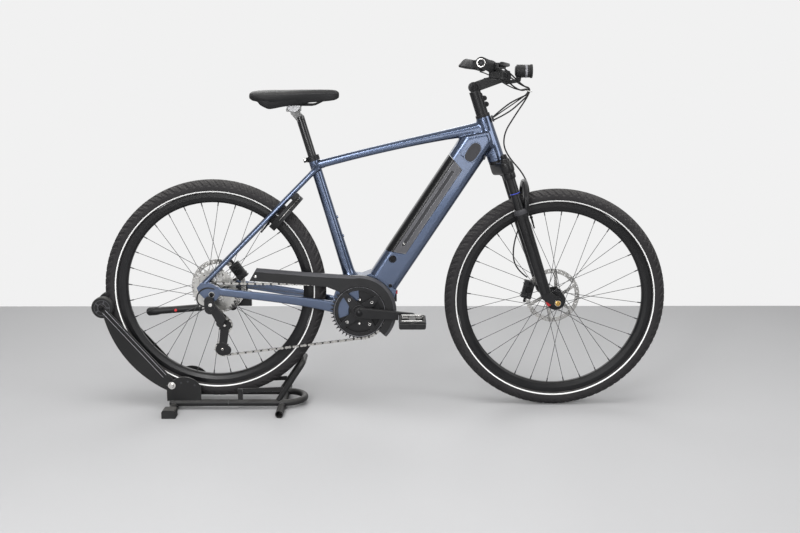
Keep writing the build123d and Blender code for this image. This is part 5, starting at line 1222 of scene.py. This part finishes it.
for side in (-1, 1):
    panels = []
    for x, low_z in zip(through(marks, 5), through([skirt_low[m] for m in marks], 5)):
        i = min(range(len(tracks[0])), key=lambda k: abs(tracks[0][k] - x))
        w, top, deep = tracks[1][i], tracks[2][i], tracks[3][i]
        outer, high_z = 0.97 * w, top - 0.55 * deep
        outline = [(outer, high_z), (outer + 0.6, (high_z + low_z) / 2), (outer - 2.5, low_z + 1.5),
                   (outer - 4, low_z), (outer - 6, low_z + 1), (outer - 7, high_z)]
        panels.append([mm(x, side * y, z) for y, z in outline])
    mount("saddle_skirt_right" if side < 0 else "saddle_skirt_left", loft_rings(panels, 0.001), saddle_cloth,
          "saddle", "saddle_cover", angle=60.0)
rail_black = surface("rail_black", (0.0090, 0.0090, 0.0095), (0.0150, 0.0150, 0.0160), 0.32, gloss=0.30,
                     metal=0.5, grain=900.0, relief=0.05, edge=0.0)
rail_line = [(-362, 38, 1008), (-356, 33, 1000), (-349, 27.5, 993.4), (-341, 24.4, 989.9), (-331, 23.8, 989),
             (-210, 22.1, 989), (-200, 20.6, 991), (-188, 17.6, 996.6), (-160, 12, 1011)]
rails = [tube([mm(x, side * y, z) for x, y, z in rail_line], 0.0035, 16) for side in (-1, 1)]
mount("saddle_rail_wires", gather(*rails), rail_black, "saddle", "black_metal", "saddle_rails")
tilt = mm(-268, 0, 988)
cradle = arc(0.022, range(180, 361, 10))
clamp_low = side_plate(cradle, tilt + mm(0, 28, 0), 0.056)
clamp_top = side_plate([(-0.019, 0.004), (0.019, 0.004), (0.019, 0.0085), (0.014, 0.011), (-0.014, 0.011),
                        (-0.019, 0.0085)], tilt + mm(0, 28, 0), 0.056)
clamp_grey = surface("clamp_alloy", (0.14, 0.14, 0.145), (0.22, 0.22, 0.225), 0.34, metal=1.0, grain=1200.0,
                     relief=0.15, edge=0.001, dust=0.05)
mount("saddle_clamp", gather(clamp_low, clamp_top, block(tilt + mm(-15, -15, -2), tilt + mm(15, 15, 6))),
      clamp_grey, "saddle", "bright_steel", "saddle_rails", soft=0.0012)
mount("saddle_clamp_bolt", bolt_head(tilt + mm(0, 0, 11), (0, 0, 1), 0.005, 0.003), bolt_black, "saddle",
      "black_metal")
post_black = surface("post_gloss_black", (0.0080, 0.0080, 0.0090), (0.0120, 0.0120, 0.0130), 0.22,
                     gloss=0.50, metal=0.3, grain=1200.0, relief=0.04, edge=0.001, dust=0.05, coat=0.4)
smooth_copy("seat_post", "seat_post", "black_metal", post_black)
collar_bolt = bolt_head((-0.2362, -0.0208, 0.8178), (0, -1, 0), 0.0046, 0.003)
mount("seat_collar_bolt", collar_bolt, bright_steel, "bicycle", "bright_steel")


# Ring lock and side stand. A black ring lock on the seat stays with its key in the right side, and a folded
# alloy stand on the left chain stay with a red release button and a rubber foot.
key_head = plate(oval(0.022, 0.016, 28), mm(-262.4, -61.5, 705.7), (0.68, 0, 0.73), (-0.73, 0, 0.68), 0.003)
key_neck = lathe([(0, 0.004), (0.006, 0.004), (0.007, 0.002), (0.007, -0.012), (0, -0.012)],
                 mm(-262.4, -58, 705.7), (0, -1, 0), 24)
mount("lock_key", gather(key_head, key_neck), black_plastic, "bicycle", "black_plastic", soft=0.0008)
stand_alloy = surface("side_stand_black", (0.0085, 0.0085, 0.0090), (0.0130, 0.0130, 0.0140), 0.42,
                      gloss=0.30, grain=1200.0, relief=0.2, edge=0.0015, dust=0.12, rub=0.3,
                      rub_colour=(0.2, 0.2, 0.2))
dress(stand_alloy, "kickstand_leg")
leg_run = mm(-289, 5, -25).normalized()
button = lathe([(0, 0.0020), (0.0042, 0.0020), (0.005, 0.001), (0.005, -0.003), (0, -0.003)],
               mm(-690, 79.9, 301.2), (0, -1, 0.05), 24)
mount("stand_button", button, red_plastic, "kickstand", "black_plastic")
foot = lathe([(0, 0.004), (0.008, 0.004), (0.0122, 0.0), (0.0124, -0.018), (0.0118, -0.021), (0, -0.021)],
             mm(-786, 93, 293), leg_run, 36)
mount("stand_rubber_foot", foot, rubber_and_recess_shade, "kickstand", "soft_rubber")
leg_top = mm(-497, 88, 318)
sleeve = lathe([(0.0088, 0.100), (0.0110, 0.103), (0.0118, 0.110), (0.0118, 0.250), (0.0138, 0.258),
                (0.0142, 0.270), (0.0142, 0.286), (0.0120, 0.290), (0.0070, 0.2905)], leg_top, leg_run, 40)
mount("stand_leg_sleeve", sleeve, stand_alloy, "kickstand", "black_plastic")


# Floor stand. Bent and welded steel tube under black powder coat, with rubber foot caps, cheek plates on
# pivot bolts and two rollers behind the tyre.
powder_coat = surface("stand_powder_coat", (0.0072, 0.0072, 0.0077), (0.0117, 0.0117, 0.0121), 0.45,
                      gloss=0.30, grain=1300.0, relief=0.35, edge=0.001, rub=0.5,
                      rub_colour=(0.24, 0.24, 0.24), dust=0.2)
dress(powder_coat, "stand_base", "stand_arm")
stand_rubber = surface("stand_rubber", (0.0143, 0.0143, 0.0149), (0.0220, 0.0220, 0.0226), 0.72, gloss=0.22,
                       grain=1600.0, relief=0.4, edge=0.001, dust=0.3)
dress(stand_rubber, "stand_feet", "stand_rollers")
arm_foot, arm_head = mm(-679.7, 0, 84.5), mm(-899, 0, 340)
washer = [(0, 0.001), (0.0125, 0.001), (0.0125, -0.001), (0, -0.001)]
pivot_head = [(0, 0.006), (0.0064, 0.006), (0.0072, 0.005), (0.0072, 0.0), (0, 0.0)]
axle_nut = [(0, 0.006), (0.0066, 0.006), (0.0075, 0.005), (0.0075, -0.002), (0, -0.002)]
pivots, nuts = [], []
for out in (-1, 1):
    pivots.append(lathe(washer, arm_foot + mm(0, out * 70.2, 0), (0, out, 0), 32))
    pivots.append(lathe(pivot_head, arm_foot + mm(0, out * 70.8, 0), (0, out, 0), 6))
    nuts.append(lathe(axle_nut, arm_head + mm(0, out * 59, 0), (0, out, 0), 6))
mount("stand_pivot_bolts", gather(*pivots), bright_steel, "stand", "bright_steel")
mount("stand_axle_nuts", gather(*nuts), bolt_black, "stand_arm", "bright_steel")
arm_line = (arm_head - arm_foot).normalized()
arm_side = Vector((arm_line.z, 0, -arm_line.x))
arm_length = (arm_head - arm_foot).length
bars, bar_highlight_lines, hub_rings = [], [], []
for out in (-1, 1):
    bar = [(0.036, -0.0065), (arm_length - 0.012, -0.0065), (arm_length - 0.012, 0.0065), (0.036, 0.0065)]
    bars.append(plate(bar, arm_foot + mm(0, out * 57.3, 0), arm_line, arm_side, -out * 0.0028))
    # light lines along both edges of each bar: painted highlights
    for edge in (-0.0062, 0.0062):
        run = [arm_foot + arm_line * t + arm_side * edge + mm(0, out * 60.0, 0)
               for t in (0.037, arm_length - 0.013)]
        bar_highlight_lines.append(tube(run, 0.0009, 8))
    face = arm_head + mm(0, out * 51, 0)
    for inner, outer in ((0.0245, 0.0262), (0.0125, 0.0150)):
        hub_rings.append(lathe([(inner, -0.0005), (inner, 0.0007), (outer, 0.0007), (outer, -0.0005)], face,
                               (0, out, 0), 48, True))
    for k in range(5):
        away, turn = around(2 * math.pi * k / 5)
        hub_rings.append(plate([(0.014, -0.002), (0.025, -0.002), (0.025, 0.002), (0.014, 0.002)], face,
                               away, turn, -out * 0.0006))
mount("stand_arm_bars", gather(*bars), powder_coat, "stand_arm", "stand_paint", soft=0.0008)
mount("stand_arm_bar_highlight_lines", gather(*bar_highlight_lines), grey_trim_and_painted_highlight, "stand_arm", "stand_paint")
mount("stand_roller_hubs", gather(*hub_rings), guard_highlight_and_hub_grey, "stand_rollers", "black_plastic")
# dark discs in the three holes of the plate: painted shade of the openings
holes = [lathe([(0, 0.0004), (0.0034, 0.0004), (0.0034, -0.001), (0, -0.001)], mm(x, -66, z), (0, -1, 0), 20)
         for x, z in ((-650, 92), (-628, 96), (-606, 84))]
mount("stand_plate_hole_shades", gather(*holes), rubber_and_recess_shade, "stand", "stand_paint")
seam = lathe([(0.0111, -0.0016), (0.0118, -0.0008), (0.0118, 0.0008), (0.0111, 0.0016)], mm(-497, -60, 22),
             (1, 0, 0), 32, True)
mount("stand_rail_weld", seam, powder_coat, "stand", "stand_paint")


# Cables. Brake hoses, gear cable and lamp lead in black sheath, from the controls over the front of the bar
# into the head tube and down to the front caliper. Each is one smooth line held by a tie, cut so that a
# stretch crosses at most one joint.
def smooth_line(route):
    curve = bpy.data.curves.new("route", "CURVE")
    curve.dimensions = "3D"
    curve.resolution_u = 10
    spline = curve.splines.new("NURBS")
    spline.points.add(len(route) - 1)
    for point, place in zip(spline.points, route):
        point.co = (*place, 1.0)
    spline.order_u = 3
    spline.use_endpoint_u = True
    holder = bpy.data.objects.new("route", curve)
    mesh = bpy.data.meshes.new_from_object(holder)
    line = [v.co.copy() for v in mesh.vertices]
    bpy.data.meshes.remove(mesh)
    bpy.data.objects.remove(holder)
    bpy.data.curves.remove(curve)
    return line


sheath = surface("cable_sheath", (0.0080, 0.0080, 0.0085), (0.0120, 0.0120, 0.0125), 0.4, gloss=0.30,
                 grain=1500.0, relief=0.1, patch=30.0, edge=0.0, dust=0.05)


def lay_cable(name, line, radius, first, second=None, stop=-1, stands_for=("cables",)):
    # one stretch: rides the first body, or, where a second body is named, is fixed in place as it lies
    piece = add_piece(name, tube(line, radius, 14), sheath)
    if second:
        bend(piece, first, second, line[0], line[stop], "soft_rubber", *stands_for)
    else:
        fit(piece, first, "soft_rubber", *stands_for)


hose_r, lead_r = 0.0024, 0.00192
tie_at = mm(474, 0, 1031)
rear_route = [grip_at(28, -1, 31.5), grip_at(30, -2, -20), mm(452, -34, 1046), mm(477, -6, 1040),
              mm(472, -3, 1022), mm(440, -6, 1008), mm(402, -10, 988), steer_at(107, 27, -11)]
gear_route = [grip_at(12, -25, 3.6), grip_at(22, -28, -34), mm(440, -30, 1030), mm(475, -3, 1040),
              mm(473, 0, 1020), mm(452, 0, 1000), mm(410, 0, 962), steer_at(117, 27, 0)]
lead_route = [grip_at(2, -19.3, 72, 1), grip_at(8, -22, 10, 1), mm(440, 34, 1030), mm(473, 3, 1041),
              mm(470, 3, 1023), mm(436, 8, 998), mm(398, 11, 972), steer_at(111, 27, 12)]
front_route = [grip_at(28, -1, 31.5, 1), grip_at(30, -2, -20, 1), mm(456, 36, 1046), mm(478, 7, 1042),
               mm(475, 5, 1020), steer_at(126, 98, 12), steer_at(170, 48, 20), steer_at(228, 33, 25),
               steer_at(326, 78, 22), steer_at(405, 70, 41), steer_at(458, 22, 38), steer_at(540, -34, 38),
               steer_at(610, -44, 44), steer_at(650, -14, 47)]
cables = (("rear_hose", rear_route, hose_r), ("gear_cable", gear_route, hose_r),
          ("lamp_lead", lead_route, lead_r), ("front_hose", front_route, hose_r))
for name, route, radius in cables:
    line = smooth_line(route)
    cut = min(range(len(line)), key=lambda i: (line[i] - tie_at).length)
    lay_cable(name + "_upper", line[:cut + 1], radius, "handlebar")
    if name == "front_hose":
        crown, arch = int(len(line) * 0.52), int(len(line) * 0.66)
        lay_cable(name + "_middle", line[cut:crown + 1], radius, "handlebar", "steering")
        lay_cable(name + "_lower", line[crown:], radius, "steering", "fork_lower", arch - crown)
    else:
        low = cut + int((len(line) - cut) * 0.78)
        lay_cable(name + "_middle", line[cut:low + 1], radius, "handlebar", "steering")
        lay_cable(name + "_lower", line[low:], radius, "steering", "bicycle")
tie_white = surface("tie_nylon", (0.62, 0.62, 0.60), (0.70, 0.70, 0.68), 0.45, grain=1800.0, relief=0.15,
                    dust=0.05)
band = lathe([(0.0088, -0.0014), (0.0100, -0.0014), (0.0100, 0.0014), (0.0088, 0.0014)], tie_at,
             (0.25, 0, 1), 40, True)
mount("cable_tie", band, tie_white, "handlebar", "black_plastic")
loop = smooth_line([mm(-527, -78, 408), mm(-548, -80, 416), mm(-578, -83, 402), mm(-586, -86, 372),
                    mm(-570, -88, 354), mm(-553, -89, 352)])
lay_cable("gear_cable_end", loop, hose_r, "bicycle", stands_for=())


# Studio. A plain pale floor, a white surround that mirrors darker towards the front, and seven soft lamps.
# The camera stands where the photograph's did.
studio = bpy.context.scene
studio.view_settings.view_transform = "Standard"
floor_mesh = bpy.data.meshes.new("floor")
floor_mesh.from_pydata([(-7, -6, 0), (7, -6, 0), (7, 1.4, 0), (-7, 1.4, 0)], [], [(0, 1, 2, 3)])
floor = bpy.data.objects.new("floor", floor_mesh)
studio.collection.objects.link(floor)
floor_mesh.materials.append(surface("pale_floor", (0.37, 0.37, 0.375), (0.40, 0.40, 0.405), 0.6, gloss=0.3,
                                    grain=30.0, relief=0.02, patch=0.7, edge=0.0, dust=0.0))
floor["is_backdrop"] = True

world = bpy.data.worlds.new("white_surround")
studio.world = world
world.use_nodes = True
sky = world.node_tree
glow = sky.nodes["Background"]
glow.inputs["Color"].default_value = (1.0, 1.0, 1.0, 1.0)
seen = sky.nodes.new("ShaderNodeLightPath")
toward = sky.nodes.new("ShaderNodeSeparateXYZ")
sky.links.new(sky.nodes.new("ShaderNodeTexCoord").outputs["Generated"], toward.inputs[0])
wall = math_node(sky, "MULTIPLY_ADD", math_node(sky, "ADD", toward.outputs["Y"], toward.outputs["Z"]), 0.42)
wall.node.inputs[2].default_value = 0.36
wall = math_node(sky, "MINIMUM", math_node(sky, "MAXIMUM", wall, 0.16), 0.88)
mirrored_room = math_node(sky, "MULTIPLY", wall, seen.outputs["Is Glossy Ray"])
plain = math_node(sky, "MAXIMUM", seen.outputs["Is Camera Ray"], seen.outputs["Is Transmission Ray"])
white = math_node(sky, "MAXIMUM", math_node(sky, "MULTIPLY", plain, 0.88), mirrored_room)
sky.links.new(math_node(sky, "MAXIMUM", white, 0.24), glow.inputs["Strength"])


def lamp(name, at, look_at, size, watts, mirrored_by_gloss=True):
    light = bpy.data.lights.new(name, "AREA")
    light.shape = "RECTANGLE"
    light.size, light.size_y = size
    light.energy = watts
    holder = bpy.data.objects.new(name, light)
    holder.location = at
    holder.visible_glossy = mirrored_by_gloss
    holder.rotation_euler = (Vector(look_at) - Vector(at)).to_track_quat("-Z", "Y").to_euler()
    studio.collection.objects.link(holder)


lamp("ceiling_softbox", (0.1, -0.6, 3.4), (0, 0, 0.4), (3.4, 2.4), 120, False)
lamp("front_softbox", (-1.8, -3.6, 2.2), (0, 0, 0.5), (1.8, 1.6), 60, False)
lamp("line_softbox", (-0.2, -3.0, 2.45), (0, 0, 0.8), (2.8, 0.13), 22)
lamp("strip_softbox", (-0.9, -3.3, 1.5), (-0.1, 0, 0.7), (0.6, 1.9), 52)
lamp("side_softbox", (3.0, -1.6, 1.9), (0.2, 0, 0.6), (1.4, 1.8), 30)
lamp("low_softbox", (0.60, -3.5, 0.62), (0.3, 0, 0.8), (1.1, 0.7), 9)
lamp("back_softbox", (-0.6, 3.0, 2.4), (0, 0, 0.5), (2.4, 1.4), 34)

view = bpy.data.cameras.new("photo_view")
view.sensor_width = 36.0
view.lens = 45.225
camera = bpy.data.objects.new("photo_view", view)
camera.location = (0.0555, -3.2207, 1.1017)
camera.rotation_euler = (math.radians(90) - 0.1947, 0.0, -0.0034)
studio.collection.objects.link(camera)
studio.camera = camera

low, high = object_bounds()
